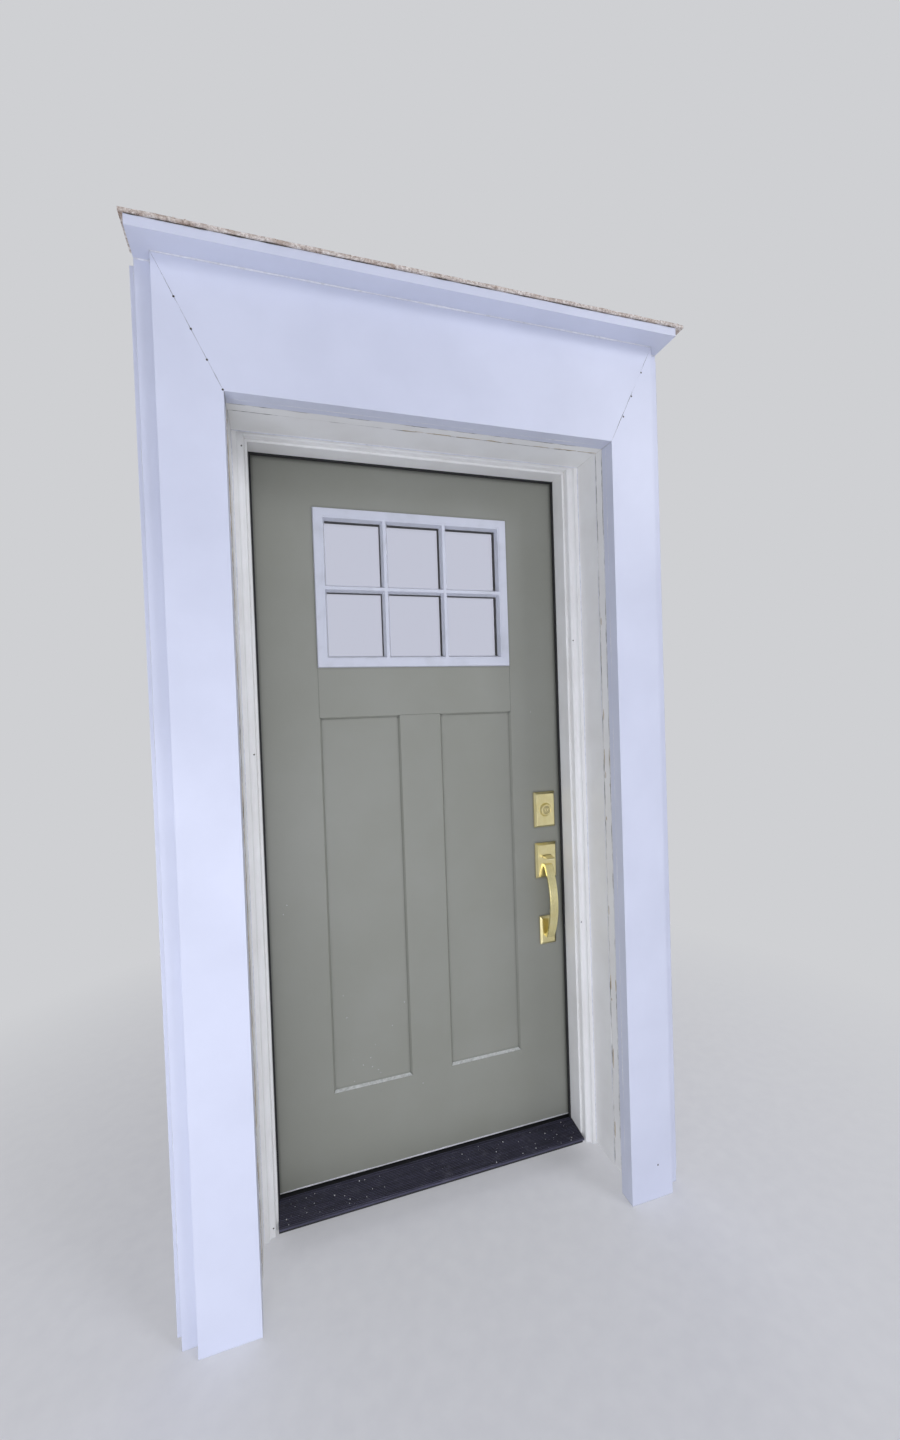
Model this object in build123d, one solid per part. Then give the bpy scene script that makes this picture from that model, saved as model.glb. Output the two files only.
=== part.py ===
from build123d import *
import math
import os

os.makedirs("parts", exist_ok=True)

# Panelled front door with its rebated frame, lined reveal, wide casing and cap, in millimetres.
# X runs along the wall with the latch at +X, Y runs into the house, Z is up.
# Y = 0 is the leaf's outer face, and Z = 0 is the underside of the sill.

# Leaf
leaf_width = 908.0
leaf_height = 2006.6
leaf_thickness = 44.5
leaf_bottom = 33.0
skin = 2.5
stile_hinge = 38.0
stile_lock = 110.0
rail_top = 38.0
rail_bottom = 60.0

# Pressed panels and the lines pressed between stiles and rails
panel_outer_x = 286.0
panel_inner_x = 59.75
panel_low = 274.0
panel_high = 1325.5
panel_depth = 8.0
panel_slope = 6.0
press_clear = 0.2
groove_width = 1.8
groove_depth = 0.7

# Window
window_half = 286.0
window_low = 1463.0
window_height = 440.0
window_face = 6.0
window_edge = 2.0
window_border = 33.0
window_step = 23.0
window_step_depth = 1.2
window_bevel = 6.0
cutout_inset = 16.0
bar_width = 20.0
pane_columns = 3
pane_rows = 2
pane_thickness = 3.0
pane_depth = 11.0
pane_inset = 18.5
collar_clear = 1.0
spacer_width = 9.0

# Frame
side_gap = 3.0
top_gap = 3.0
stop_rise = 12.5
jamb_thickness = 31.75
jamb_out = 70.0
jamb_proud = 1.5
stop_shoulder = 12.7
seal_clear = 0.3
kerf_width = 3.0
kerf_depth = 8.0
kerf_setback = 5.0
tail_clear = 0.3
seal_lip = 5.0

# Brickmould
mould_reveal = 7.0
mould_width = 50.8
mould_thickness = 31.75
mould_nose = 4.0
mould_inner = 20.0
mould_flat = 4.0
mould_cove = 9.0
mould_foot = 2.0

# Sill
sill_front = 92.0
sill_slope = 0.125
deck_rear_top = 30.0
deck_plate = 2.0
rib_height = 1.5
rib_pitch = 4.6
rib_width = 2.2
deck_nose = 6.5
deck_fin = 2.0
base_setback = 10.0
base_shelf = 19.0
cap_crown = 8.5
cap_shoulder = 6.0
cap_setback = 11.0
sweep_plate = 3.0
sweep_fin = 2.0
sweep_fins = 4
sweep_clear = 0.3
sweep_inset = 2.0

# Reveal, casing and cap
lining_thickness = 19.0
lining_depth = 94.0
lining_side_set = 36.0
lining_head_set = 10.0
lining_foot = 8.0
furring_thickness = 38.0
furring_depth = 32.0
furring_side_set = 37.5
furring_head_set = 9.0
back_thickness = 18.0
back_half = 651.0
casing_thickness = 30.0
casing_side_set = 38.0
casing_head_set = 8.5
casing_show = 36.0
casing_foot = -48.0
casing_top = 2308.0
scribe_width = 10.0
scribe_depth = 8.0
scribe_foot = -24.0
scribe_short = 10.0
cap_out = 55.0
cap_thickness = 22.0
drip_thickness = 7.0
drip_gap = 0.3
drip_out = 5.0
drip_left = 9.0
drip_right = 22.0
drip_wave = 1.6
drip_points = 44

# Hinges
hinge_height = 101.6
hinge_plate = 3.0
hinge_reach = 31.0
hinge_corner = 15.9
hinge_pin_out = 8.0
knuckle_radius = 6.2
knuckle_count = 5
knuckle_gap = 0.3
pin_radius = 3.0
pin_clear = 0.05
pin_head = 5.4
pin_cap = 3.0
hinge_end = 229.0
screw_head = 4.2
screw_shank = 2.0
screw_sink = 2.4
screw_length = 14.0
screw_clear = 0.05

# Lock set
backset = 66.0
lock_height = 982.0
lock_spacing = 139.7
cross_bore = 27.0
edge_bore = 12.7
plate_width = 70.0
plate_height = 109.0
plate_depth = 12.0
plate_bevel = 6.0
plate_rim = 4.0
plate_wall = 3.0
upper_plate_drop = 19.3
collar_radius = 21.0
collar_taper = 4.0
collar_depth = 8.0
face_radius = 14.5
face_sink = 1.2
cylinder_clear = 0.1
cylinder_length = 26.0
plug_radius = 6.5
plug_clear = 0.05
keyway_width = 1.4
keyway_height = 8.5
tail_width = 5.0
tail_thickness = 1.6
case_radius = 11.5
case_bore = 10.2
case_box = 15.0
case_box_side = 24.0
case_wall = 3.0
hub_bore = 5.2
faceplate_width = 25.4
faceplate_height = 57.2
faceplate_thickness = 2.5
bolt_width = 12.0
bolt_height = 15.0
bolt_throw = 25.4
bolt_hold = 18.0
latch_throw = 12.0
latch_hold = 30.0
latch_bevel = 9.0
bolt_clear = 0.25
strike_thickness = 2.0
strike_width = 32.0
strike_height = 70.0
strike_slack = 1.5
strike_lip = 5.0
inner_plate = 66.0
inner_plate_depth = 10.0
turn_bore = 9.0
turn_clear = 0.05
turn_length = 42.0
turn_width = 11.0
turn_out = 20.0
knob_neck = 12.0
knob_radius = 27.0
knob_out = 58.0
spindle_radius = 3.8

# Grip and thumb piece
lower_plate_width = 53.0
lower_plate_height = 87.0
lower_plate_depth = 8.0
lower_plate_drop = 238.5
grip_width = 26.0
grip_thickness = 8.0
grip_out = 54.0
grip_ends_out = 23.0
grip_below = 29.3
grip_low = 255.3
grip_ease = 1.2
thumb_width = 28.0
thumb_out = 40.0
thumb_thickness = 4.0
thumb_pivot_in = 5.0
thumb_pivot_drop = 6.0
thumb_pivot_radius = 2.2
thumb_slot_clear = 1.0
thumb_lug = 3.5
thumb_lug_gap = 0.5

# Screw holes for fixing the unit into the wall
fixing_radius = 2.6
fixing_spacing = 1320.0
fixing_middle = 990.0
fixing_in = 22.0

# Places worked out from the sizes above
leaf_half = leaf_width / 2
leaf_top = leaf_bottom + leaf_height
rebate_x = leaf_half + side_gap
rebate_z = leaf_top + top_gap
stop_x = rebate_x - stop_rise
stop_z = rebate_z - stop_rise
jamb_z = stop_z + jamb_thickness
jamb_front = -jamb_out
jamb_rear = leaf_thickness + jamb_proud
mould_front = jamb_front - mould_thickness
lining_front = mould_front - lining_depth
wall_y = lining_front - furring_depth
back_front = wall_y - back_thickness
casing_front = back_front - casing_thickness
casing_half = back_half - casing_show
lining_x = stop_x + lining_side_set
lining_z = stop_z + lining_head_set
furring_x = stop_x + furring_side_set
furring_z = stop_z + furring_head_set
casing_x = stop_x + casing_side_set
casing_z = stop_z + casing_head_set
cap_front = casing_front - cap_out
cap_top = casing_top + cap_thickness
window_high = window_low + window_height
pane_back = leaf_thickness - pane_depth
lock_x = leaf_half - backset
bolt_z = leaf_bottom + lock_height
latch_z = bolt_z - lock_spacing
bolt_y = leaf_thickness / 2
pin_x = -(leaf_half + side_gap / 2)
pin_y = leaf_thickness + hinge_pin_out
hinge_heights = {
    "top": leaf_top - hinge_end,
    "middle": (leaf_top + leaf_bottom) / 2,
    "bottom": leaf_bottom + hinge_end,
}
plate_front = -plate_depth
grip_top = latch_z - grip_below
grip_bottom = latch_z - grip_low
through = 400.0


def save(shape, name):
    export_step(Compound(label=name, children=list(shape.solids())), f"parts/{name}.step")


def block(x0, x1, y0, y1, z0, z1):
    return Pos((x0 + x1) / 2, (y0 + y1) / 2, (z0 + z1) / 2) * Box(x1 - x0, y1 - y0, z1 - z0)


def outline(points):
    return make_face(Polyline(*points, close=True))


def along_x(points, x0, x1):
    return extrude(outline([(x0, y, z) for y, z in points]), amount=x1 - x0, dir=(1, 0, 0))


def along_y(points, y0, y1):
    return extrude(outline([(x, y0, z) for x, z in points]), amount=y1 - y0, dir=(0, 1, 0))


def along_z(points, z0, z1):
    return extrude(outline([(x, y, z0) for x, y in points]), amount=z1 - z0, dir=(0, 0, 1))


def rod(start, direction, radius, length):
    return Plane(origin=start, z_dir=direction) * Cylinder(
        radius, length, align=(Align.CENTER, Align.CENTER, Align.MIN))


def flip(shape):
    return mirror(shape, about=Plane.YZ)


def to_inside(shape):
    middle = Plane.XZ.offset(-leaf_thickness / 2)
    return mirror(shape, about=middle)


def frustum(x0, x1, z0, z1, y0, y1, inset):
    # A rectangle at y0 that is smaller by the inset on each side at y1.
    near = outline([(x0, y0, z0), (x1, y0, z0), (x1, y0, z1), (x0, y0, z1)])
    far = outline([(x0 + inset, y1, z0 + inset), (x1 - inset, y1, z0 + inset),
                   (x1 - inset, y1, z1 - inset), (x0 + inset, y1, z1 - inset)])
    return loft([near, far])


def countersunk(origin, direction, grow):
    # The screw's own form, and with a little growth the hole that it sits in.
    place = Plane(origin=origin, z_dir=direction)
    base = (Align.CENTER, Align.CENTER, Align.MIN)
    head = place * Cone(screw_head + grow, screw_shank + grow, screw_sink, align=base)
    shank = place * Cylinder(screw_shank + grow, screw_length + grow, align=base)
    return head + shank


# Frame: jambs, weatherstrip, brickmould

def kerf(place):
    # Corners of the slot in the stop's shoulder that takes the weatherstrip's tail.
    low = kerf_setback
    high = kerf_setback + kerf_width
    return [place(low, stop_shoulder), place(low, stop_shoulder + kerf_depth),
            place(high, stop_shoulder + kerf_depth), place(high, stop_shoulder)]


def jamb_points(place):
    return ([place(0, jamb_out), place(jamb_thickness, jamb_out),
             place(jamb_thickness, -jamb_rear), place(stop_rise, -jamb_rear),
             place(stop_rise, stop_shoulder)] + list(reversed(kerf(place))) + [place(0, stop_shoulder)])


def side_place(across, out):
    return (stop_x + across, -out)


def head_place(across, out):
    return (-out, stop_z + across)


def fixing_holes(jamb):
    for level in (fixing_middle - fixing_spacing / 2, fixing_middle + fixing_spacing / 2):
        jamb -= rod((rebate_x - 1, fixing_in, level), (1, 0, 0), fixing_radius, jamb_thickness)
    return jamb


def side_jamb():
    return fixing_holes(along_z(jamb_points(side_place), 0, jamb_z))


def head_jamb():
    # The head's stop is coped where the side jambs' stops stand.
    bar = along_x(jamb_points(head_place), -rebate_x, rebate_x)
    stop = block(stop_x, rebate_x + 1, jamb_front - 1, -stop_shoulder, 0, jamb_z + 1)
    return bar - stop - flip(stop)


def seal_face(place):
    # Section of the weatherstrip: a tail in the kerf and a soft bulb that stands in past the stop.
    low = kerf_setback + tail_clear
    high = kerf_setback + kerf_width - tail_clear
    left = -seal_lip
    right = stop_rise - tail_clear
    deep = stop_shoulder + kerf_depth - tail_clear
    waist = seal_clear + stop_shoulder / 2
    edges = [
        Polyline(place(left, waist), place(left, stop_shoulder), place(low, stop_shoulder),
                 place(low, deep), place(high, deep), place(high, stop_shoulder),
                 place(right, stop_shoulder), place(right, waist)),
        ThreePointArc(place(right, waist), place((left + right) / 2, seal_clear), place(left, waist)),
    ]
    return make_face(edges)


def side_seal():
    low = deck_rear_top
    face = seal_face(lambda across, out: (stop_x + across, -out, low))
    return extrude(face, amount=rebate_z - tail_clear - low, dir=(0, 0, 1))


def head_seal():
    reach = stop_x - seal_lip - tail_clear
    face = seal_face(lambda across, out: (-reach, -out, stop_z + across))
    return extrude(face, amount=2 * reach, dir=(1, 0, 0))


def mould_face(place):
    # Section of the brickmould: a round nose, a flat, a cove and the thick outer flat.
    nose = mould_reveal + mould_nose
    flat = nose + mould_flat
    rise = mould_thickness - mould_inner
    cove = flat + mould_cove
    outer = mould_reveal + mould_width
    turn = math.sqrt(0.5)
    edges = [
        Polyline(place(outer, 0), place(mould_reveal, 0), place(mould_reveal, mould_inner - mould_nose)),
        ThreePointArc(place(mould_reveal, mould_inner - mould_nose),
                      place(nose - mould_nose * turn, mould_inner - mould_nose + mould_nose * turn),
                      place(nose, mould_inner)),
        Polyline(place(nose, mould_inner), place(flat, mould_inner)),
        ThreePointArc(place(flat, mould_inner),
                      place(flat + mould_cove * turn, mould_thickness - rise * turn),
                      place(cove, mould_thickness)),
        Polyline(place(cove, mould_thickness), place(outer, mould_thickness), place(outer, 0)),
    ]
    return make_face(edges)


def mitre_wedge(leg):
    # The half of the corner square that is cut from a leg, or from the head.
    reach = mould_reveal + mould_width + 10
    near = (stop_x - 10, stop_z - 10)
    far = (stop_x + reach, stop_z + reach)
    third = (near[0], far[1]) if leg else (far[0], near[1])
    return along_y([near, far, third], mould_front - 1, jamb_front + 1)


def side_mould():
    top = stop_z + mould_reveal + mould_width
    face = mould_face(lambda across, out: (stop_x + across, jamb_front - out, mould_foot))
    return extrude(face, amount=top - mould_foot, dir=(0, 0, 1)) - mitre_wedge(True)


def head_mould():
    reach = stop_x + mould_reveal + mould_width
    face = mould_face(lambda across, out: (-reach, jamb_front - out, stop_z + across))
    bar = extrude(face, amount=2 * reach, dir=(1, 0, 0))
    wedge = mitre_wedge(False)
    return bar - wedge - flip(wedge)


# Sill

def deck_top(y):
    return deck_rear_top + sill_slope * (y + stop_shoulder)


def sill_base():
    under = rib_height + deck_plate
    front = -sill_front + base_setback
    outer = along_x([(front, 0), (-stop_shoulder, 0), (-stop_shoulder, deck_top(-stop_shoulder) - under),
                     (front, deck_top(front) - under)], -stop_x, stop_x)
    inner = block(-rebate_x, rebate_x, -stop_shoulder, jamb_rear, 0, base_shelf)
    dam = block(-rebate_x, rebate_x, jamb_rear - cap_setback, jamb_rear, 0, base_shelf + cap_shoulder)
    return outer + inner + dam


def sill_deck():
    # A ribbed tread that slopes to a nose, with a fin behind it that holds the cap.
    under = rib_height + deck_plate
    front = -sill_front
    nose = front + deck_plate
    points = [(nose, deck_top(nose) - under), (nose, deck_top(front) - deck_nose),
              (front, deck_top(front) - deck_nose), (front, deck_top(front) - rib_height)]
    count = int((sill_front - stop_shoulder - rib_pitch) / rib_pitch)
    for index in range(count):
        y = front + rib_pitch * (index + 0.5)
        base = deck_top(y) - rib_height
        rise = sill_slope * rib_width
        inset = rib_width * 0.2
        points += [(y, base), (y + inset, base + rib_height),
                   (y + rib_width - inset, base + rise + rib_height), (y + rib_width, base + rise)]
    rear = -stop_shoulder
    points += [(rear, deck_top(rear) - rib_height), (rear, deck_top(rear)),
               (rear + deck_fin, deck_top(rear)), (rear + deck_fin, base_shelf), (rear, base_shelf),
               (rear, deck_top(rear) - under)]
    return along_x(points, -stop_x, stop_x)


def sill_cap():
    low = -stop_shoulder + deck_fin
    high = jamb_rear - cap_setback
    face = make_face([
        Polyline((-rebate_x, low, base_shelf + cap_shoulder), (-rebate_x, low, base_shelf),
                 (-rebate_x, high, base_shelf), (-rebate_x, high, base_shelf + cap_shoulder)),
        ThreePointArc((-rebate_x, high, base_shelf + cap_shoulder),
                      (-rebate_x, (low + high) / 2, base_shelf + cap_crown),
                      (-rebate_x, low, base_shelf + cap_shoulder)),
    ])
    return extrude(face, amount=2 * rebate_x, dir=(1, 0, 0))


# Reveal, casing and cap

def side_board(x0, width, y0, depth, low, high):
    return block(x0, x0 + width, y0, y0 + depth, low, high)


def head_board(reach, y0, depth, low, high):
    return block(-reach, reach, y0, y0 + depth, low, high)


def furring_boards():
    side = side_board(furring_x, furring_thickness, wall_y, furring_depth, lining_foot, furring_z)
    head = head_board(furring_x + furring_thickness, wall_y, furring_depth, furring_z,
                      furring_z + furring_thickness)
    return Compound(children=[side, flip(side), head])


def casing_side():
    points = [(casing_x, casing_foot), (casing_half, casing_foot), (casing_half, casing_top),
              (casing_x, casing_z)]
    return along_y(points, casing_front, back_front)


def casing_head():
    points = [(-casing_x, casing_z), (casing_x, casing_z), (casing_half, casing_top),
              (-casing_half, casing_top)]
    return along_y(points, casing_front, back_front)


def scribe_strips():
    strip = block(back_half, back_half + scribe_width, wall_y - scribe_depth, wall_y,
                  scribe_foot, casing_top - scribe_short)
    return Compound(children=[strip, flip(strip)])


def ragged(index):
    # A fixed uneven offset for the broken front edge, from three waves that never line up.
    return drip_wave * (math.sin(index * 1.9) + 0.6 * math.sin(index * 4.3 + 1.0) + 0.4 * math.cos(index * 7.1)) / 2


def drip_cap():
    left = -(back_half + drip_left)
    right = back_half + drip_right
    front = cap_front - drip_out
    points = [(right, wall_y), (left, wall_y)]
    for index in range(drip_points + 1):
        x = left + (right - left) * index / drip_points
        points.append((x + ragged(index + 60) * 0.5, front + ragged(index)))
    return along_z(points, cap_top + drip_gap, cap_top + drip_gap + drip_thickness)


# Leaf

def panel_spots():
    return ((-panel_outer_x, -panel_inner_x), (panel_inner_x, panel_outer_x))


def panel_recess(grow):
    # The pressed panel's hollow; grown by the skin it is the skin's own back.
    recess = []
    for x0, x1 in panel_spots():
        recess.append(frustum(x0 - grow, x1 + grow, panel_low - grow, panel_high + grow,
                              0, panel_depth + grow, panel_slope))
    return recess


def pressed_lines():
    # Fine pressed lines where the stiles and rails of a framed door would meet.
    half = groove_width / 2
    lines = []
    for x in (-panel_outer_x, panel_outer_x):
        lines.append(along_z([(x - half, -1), (x - half, 0), (x, groove_depth), (x + half, 0), (x + half, -1)],
                             panel_high, window_low + 1))
    lines.append(along_x([(-1, panel_high - half), (0, panel_high - half), (groove_depth, panel_high),
                          (0, panel_high + half), (-1, panel_high + half)], -panel_inner_x, panel_inner_x))
    return lines


def window_cutout(inset):
    return block(-window_half + inset, window_half - inset, -through, through,
                 window_low + inset, window_high - inset)


def lock_bores():
    bores = []
    for z in (bolt_z, latch_z):
        bores.append(rod((lock_x, -1, z), (0, 1, 0), cross_bore, leaf_thickness + 2))
        bores.append(rod((lock_x, bolt_y, z), (1, 0, 0), edge_bore, backset + 1))
        bores.append(faceplate(z))
    return bores


def hinge_rebates(side):
    # Shallow pockets for the hinge plates, in the leaf's edge or in the jamb.
    x0 = -leaf_half if side == "leaf" else -rebate_x - hinge_plate
    pockets = []
    for z in hinge_heights.values():
        pockets.append(plate_blank(x0, z))
        pockets.append(block(x0, x0 + hinge_plate, leaf_thickness - 1, pin_y,
                             z - hinge_height / 2, z + hinge_height / 2))
    return pockets


def leaf_skin():
    sheet = block(-leaf_half, leaf_half, 0, skin, leaf_bottom, leaf_top)
    for bulge in panel_recess(skin):
        sheet += bulge
    for hollow in panel_recess(0):
        sheet -= hollow
    for line in pressed_lines():
        sheet -= line
    sheet -= window_cutout(cutout_inset)
    for bore in lock_bores():
        sheet -= bore
    return sheet


def leaf_block(x0, x1, z0, z1):
    return block(x0, x1, skin, leaf_thickness - skin, z0, z1)


def hinge_stile():
    stile = leaf_block(-leaf_half, -leaf_half + stile_hinge, leaf_bottom, leaf_top)
    for pocket in hinge_rebates("leaf"):
        stile -= pocket
    return stile


def lock_stile():
    stile = leaf_block(leaf_half - stile_lock, leaf_half, leaf_bottom, leaf_top)
    for bore in lock_bores():
        stile -= bore
    for z in (bolt_z, latch_z):
        for hole in faceplate_screws(z, screw_clear):
            stile -= hole
    return stile


def leaf_rails():
    x0 = -leaf_half + stile_hinge
    x1 = leaf_half - stile_lock
    top = leaf_block(x0, x1, leaf_top - rail_top, leaf_top)
    bottom = leaf_block(x0, x1, leaf_bottom, leaf_bottom + rail_bottom)
    return Compound(children=[top, bottom])


def leaf_core():
    core = leaf_block(-leaf_half + stile_hinge, leaf_half - stile_lock,
                      leaf_bottom + rail_bottom, leaf_top - rail_top)
    for bulge in panel_recess(skin + press_clear):
        core -= bulge
        core -= to_inside(bulge)
    return core - window_cutout(cutout_inset)


# Window

def window_frame():
    # One moulding: an outer border, a step, bevelled glazing bars and a collar into the leaf.
    rim = frustum(-window_half, window_half, window_low, window_high, 0, -window_face, window_edge)
    collar = block(-window_half + cutout_inset + collar_clear, window_half - cutout_inset - collar_clear,
                   -window_edge, pane_depth, window_low + cutout_inset + collar_clear,
                   window_high - cutout_inset - collar_clear)
    frame = rim + collar
    frame -= block(-window_half + window_step, window_half - window_step, -window_face - 1,
                   -window_face + window_step_depth, window_low + window_step, window_high - window_step)
    wide = 2 * (window_half - window_border)
    tall = window_height - 2 * window_border
    pane_w = (wide - bar_width * (pane_columns - 1)) / pane_columns
    pane_h = (tall - bar_width * (pane_rows - 1)) / pane_rows
    for column in range(pane_columns):
        for row in range(pane_rows):
            x0 = -wide / 2 + column * (pane_w + bar_width)
            z0 = window_low + window_border + row * (pane_h + bar_width)
            grow = window_bevel
            frame -= frustum(x0 - grow, x0 + pane_w + grow, z0 - grow, z0 + pane_h + grow,
                             -window_face, pane_depth, grow)
    return frame


def pane(y0):
    return block(-window_half + pane_inset, window_half - pane_inset, y0, y0 + pane_thickness,
                 window_low + pane_inset, window_high - pane_inset)


def pane_spacer():
    y0 = pane_depth + pane_thickness
    y1 = pane_back - pane_thickness
    low = pane_inset
    high = pane_inset + spacer_width
    ring = block(-window_half + low, window_half - low, y0, y1, window_low + low, window_high - low)
    return ring - block(-window_half + high, window_half - high, y0 - 1, y1 + 1,
                        window_low + high, window_high - high)


def door_sweep():
    reach = leaf_half - sweep_inset
    top = leaf_bottom
    floor = base_shelf + cap_crown + sweep_clear
    sweep = block(-reach, reach, sweep_inset * 2, leaf_thickness - sweep_inset * 2, top - sweep_plate, top)
    start = sweep_inset * 3
    pitch = (jamb_rear - cap_setback - start * 2) / (sweep_fins - 1)
    for index in range(sweep_fins):
        y = start + pitch * index
        sweep += block(-reach, reach, y, y + sweep_fin, floor, top - sweep_plate + 0.01)
    return sweep


# Hinges

def plate_blank(x0, z):
    # The mortised plate up to the leaf's inner face, with its two round corners.
    low = leaf_thickness - hinge_reach
    half = hinge_height / 2
    r = hinge_corner
    k = r * (1 - math.sqrt(0.5))
    face = make_face([
        Polyline((x0, low + r, z + half), (x0, leaf_thickness, z + half), (x0, leaf_thickness, z - half),
                 (x0, low + r, z - half)),
        ThreePointArc((x0, low + r, z - half), (x0, low + k, z - half + k), (x0, low, z - half + r)),
        Polyline((x0, low, z - half + r), (x0, low, z + half - r)),
        ThreePointArc((x0, low, z + half - r), (x0, low + k, z + half - k), (x0, low + r, z + half)),
    ])
    return extrude(face, amount=hinge_plate, dir=(1, 0, 0))


def knuckle_spans(z, own):
    pitch = hinge_height / knuckle_count
    low = z - hinge_height / 2
    start = 0 if own == "jamb" else 1
    return [(low + pitch * index + knuckle_gap / 2, low + pitch * (index + 1) - knuckle_gap / 2)
            for index in range(start, knuckle_count, 2)]


def hinge_screw_spots(z):
    near = leaf_thickness - hinge_reach * 0.35
    far = leaf_thickness - hinge_reach * 0.7
    quarter = hinge_height / 8
    return [(near, z + quarter * 3), (far, z + quarter), (near, z - quarter), (far, z - quarter * 3)]


def hinge_screws(own, grow):
    x = -rebate_x if own == "jamb" else -leaf_half
    way = (-1, 0, 0) if own == "jamb" else (1, 0, 0)
    return [countersunk((x, y, level), way, grow) for z in hinge_heights.values()
            for y, level in hinge_screw_spots(z)]


def hinge_leaf(own, z):
    x0 = -rebate_x - hinge_plate if own == "jamb" else -leaf_half
    plate = plate_blank(x0, z)
    clear_y = pin_y - knuckle_radius - knuckle_gap
    plate += block(x0, x0 + hinge_plate, leaf_thickness, clear_y, z - hinge_height / 2, z + hinge_height / 2)
    for low, high in knuckle_spans(z, own):
        plate += block(x0, x0 + hinge_plate, clear_y, pin_y, low, high)
        plate += rod((pin_x, pin_y, low), (0, 0, 1), knuckle_radius, high - low)
    plate -= rod((pin_x, pin_y, z - hinge_height), (0, 0, 1), pin_radius + pin_clear, 2 * hinge_height)
    x = -rebate_x if own == "jamb" else -leaf_half
    way = (-1, 0, 0) if own == "jamb" else (1, 0, 0)
    for y, level in hinge_screw_spots(z):
        plate -= countersunk((x, y, level), way, screw_clear)
    return plate


def hinge_pins():
    pins = []
    for z in hinge_heights.values():
        top = z + hinge_height / 2 + pin_clear
        pin = rod((pin_x, pin_y, z - hinge_height / 2), (0, 0, 1), pin_radius, hinge_height + pin_clear)
        pins.append(pin + rod((pin_x, pin_y, top), (0, 0, 1), pin_head, pin_cap))
    return Compound(children=pins)


# Lock set

def faceplate(z):
    half_w = faceplate_width / 2
    half_h = faceplate_height / 2
    return block(leaf_half - faceplate_thickness, leaf_half, bolt_y - half_w, bolt_y + half_w,
                 z - half_h, z + half_h)


def faceplate_screws(z, grow):
    offset = faceplate_height / 2 - screw_head * 1.6
    return [countersunk((leaf_half, bolt_y, z + side * offset), (-1, 0, 0), grow) for side in (-1, 1)]


def bolt_case(z):
    # Faceplate, round case in the edge bore and the flat box that holds the crank.
    box_end = lock_x + case_box_side / 2
    plate_back = leaf_half - faceplate_thickness
    case = faceplate(z)
    case += rod((box_end, bolt_y, z), (1, 0, 0), case_radius, plate_back - box_end)
    case += block(lock_x - case_box_side / 2, box_end, bolt_y - case_box / 2, bolt_y + case_box / 2,
                  z - case_box_side / 2, z + case_box_side / 2)
    case -= rod((box_end + case_wall, bolt_y, z), (1, 0, 0), case_bore, plate_back - box_end - case_wall)
    case -= bolt_hole(z, plate_back - 1, bolt_clear)
    case -= rod((lock_x, 0, z), (0, 1, 0), hub_bore, leaf_thickness)
    for hole in faceplate_screws(z, screw_clear):
        case -= hole
    return case


def bolt_bar(z, length):
    half_w = bolt_width / 2
    half_h = bolt_height / 2
    return block(leaf_half - length, leaf_half, bolt_y - half_w, bolt_y + half_w, z - half_h, z + half_h)


def latch_bar():
    bar = bolt_bar(latch_z, latch_throw + latch_hold)
    front = bolt_y - bolt_width / 2
    wedge = along_z([(leaf_half, front - 1), (leaf_half + 1, front - 1), (leaf_half + 1, bolt_y + 3),
                     (leaf_half, bolt_y + 3), (leaf_half - latch_bevel, front - 1)],
                    latch_z - bolt_height, latch_z + bolt_height)
    return bar - wedge


def bolt_hole(z, x0, slack):
    half_w = bolt_width / 2 + slack
    half_h = bolt_height / 2 + slack
    return block(x0, x0 + through, bolt_y - half_w, bolt_y + half_w, z - half_h, z + half_h)


def strike_screws(z, grow):
    offset = strike_height / 2 - screw_head * 2
    return [countersunk((rebate_x, bolt_y, z + side * offset), (1, 0, 0), grow) for side in (-1, 1)]


def strike_blank(z, lip):
    # The plate without its holes; the latch's has a lip past the back of the jamb.
    half = strike_width / 2
    plate = block(rebate_x, rebate_x + strike_thickness, bolt_y - half, bolt_y + half,
                  z - strike_height / 2, z + strike_height / 2)
    if lip:
        plate += block(rebate_x, rebate_x + strike_thickness, bolt_y, jamb_rear + strike_lip,
                       z - bolt_height, z + bolt_height)
    return plate


def strike(z, lip):
    plate = strike_blank(z, lip) - bolt_hole(z, rebate_x - 1, strike_slack)
    for hole in strike_screws(z, screw_clear):
        plate -= hole
    return plate


def lock_plate(z, width, height, depth):
    # A plate with an upright rim and a broad bevel up to its flat face.
    half_w = width / 2
    half_h = height / 2
    rim = min(plate_rim, depth / 2)
    x0 = lock_x - half_w
    x1 = lock_x + half_w
    body = block(x0, x1, -rim, 0, z - half_h, z + half_h)
    return body + frustum(x0, x1, z - half_h, z + half_h, -rim, -depth, plate_bevel)


def deadbolt_plate():
    plate = lock_plate(bolt_z, plate_width, plate_height, plate_depth)
    face = plate_front - collar_depth
    collar = Plane(origin=(lock_x, plate_front, bolt_z), z_dir=(0, -1, 0)) * Cone(
        collar_radius, collar_radius - collar_taper, collar_depth, align=(Align.CENTER, Align.CENTER, Align.MIN))
    plate += collar
    return plate - rod((lock_x, 1, bolt_z), (0, -1, 0), face_radius + cylinder_clear, 1 - face + 1)


def lock_cylinder():
    face = plate_front - collar_depth + face_sink
    body = rod((lock_x, face, bolt_z), (0, 1, 0), face_radius, cylinder_length)
    return body - rod((lock_x, face - 1, bolt_z), (0, 1, 0), plug_radius + plug_clear, through)


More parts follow.
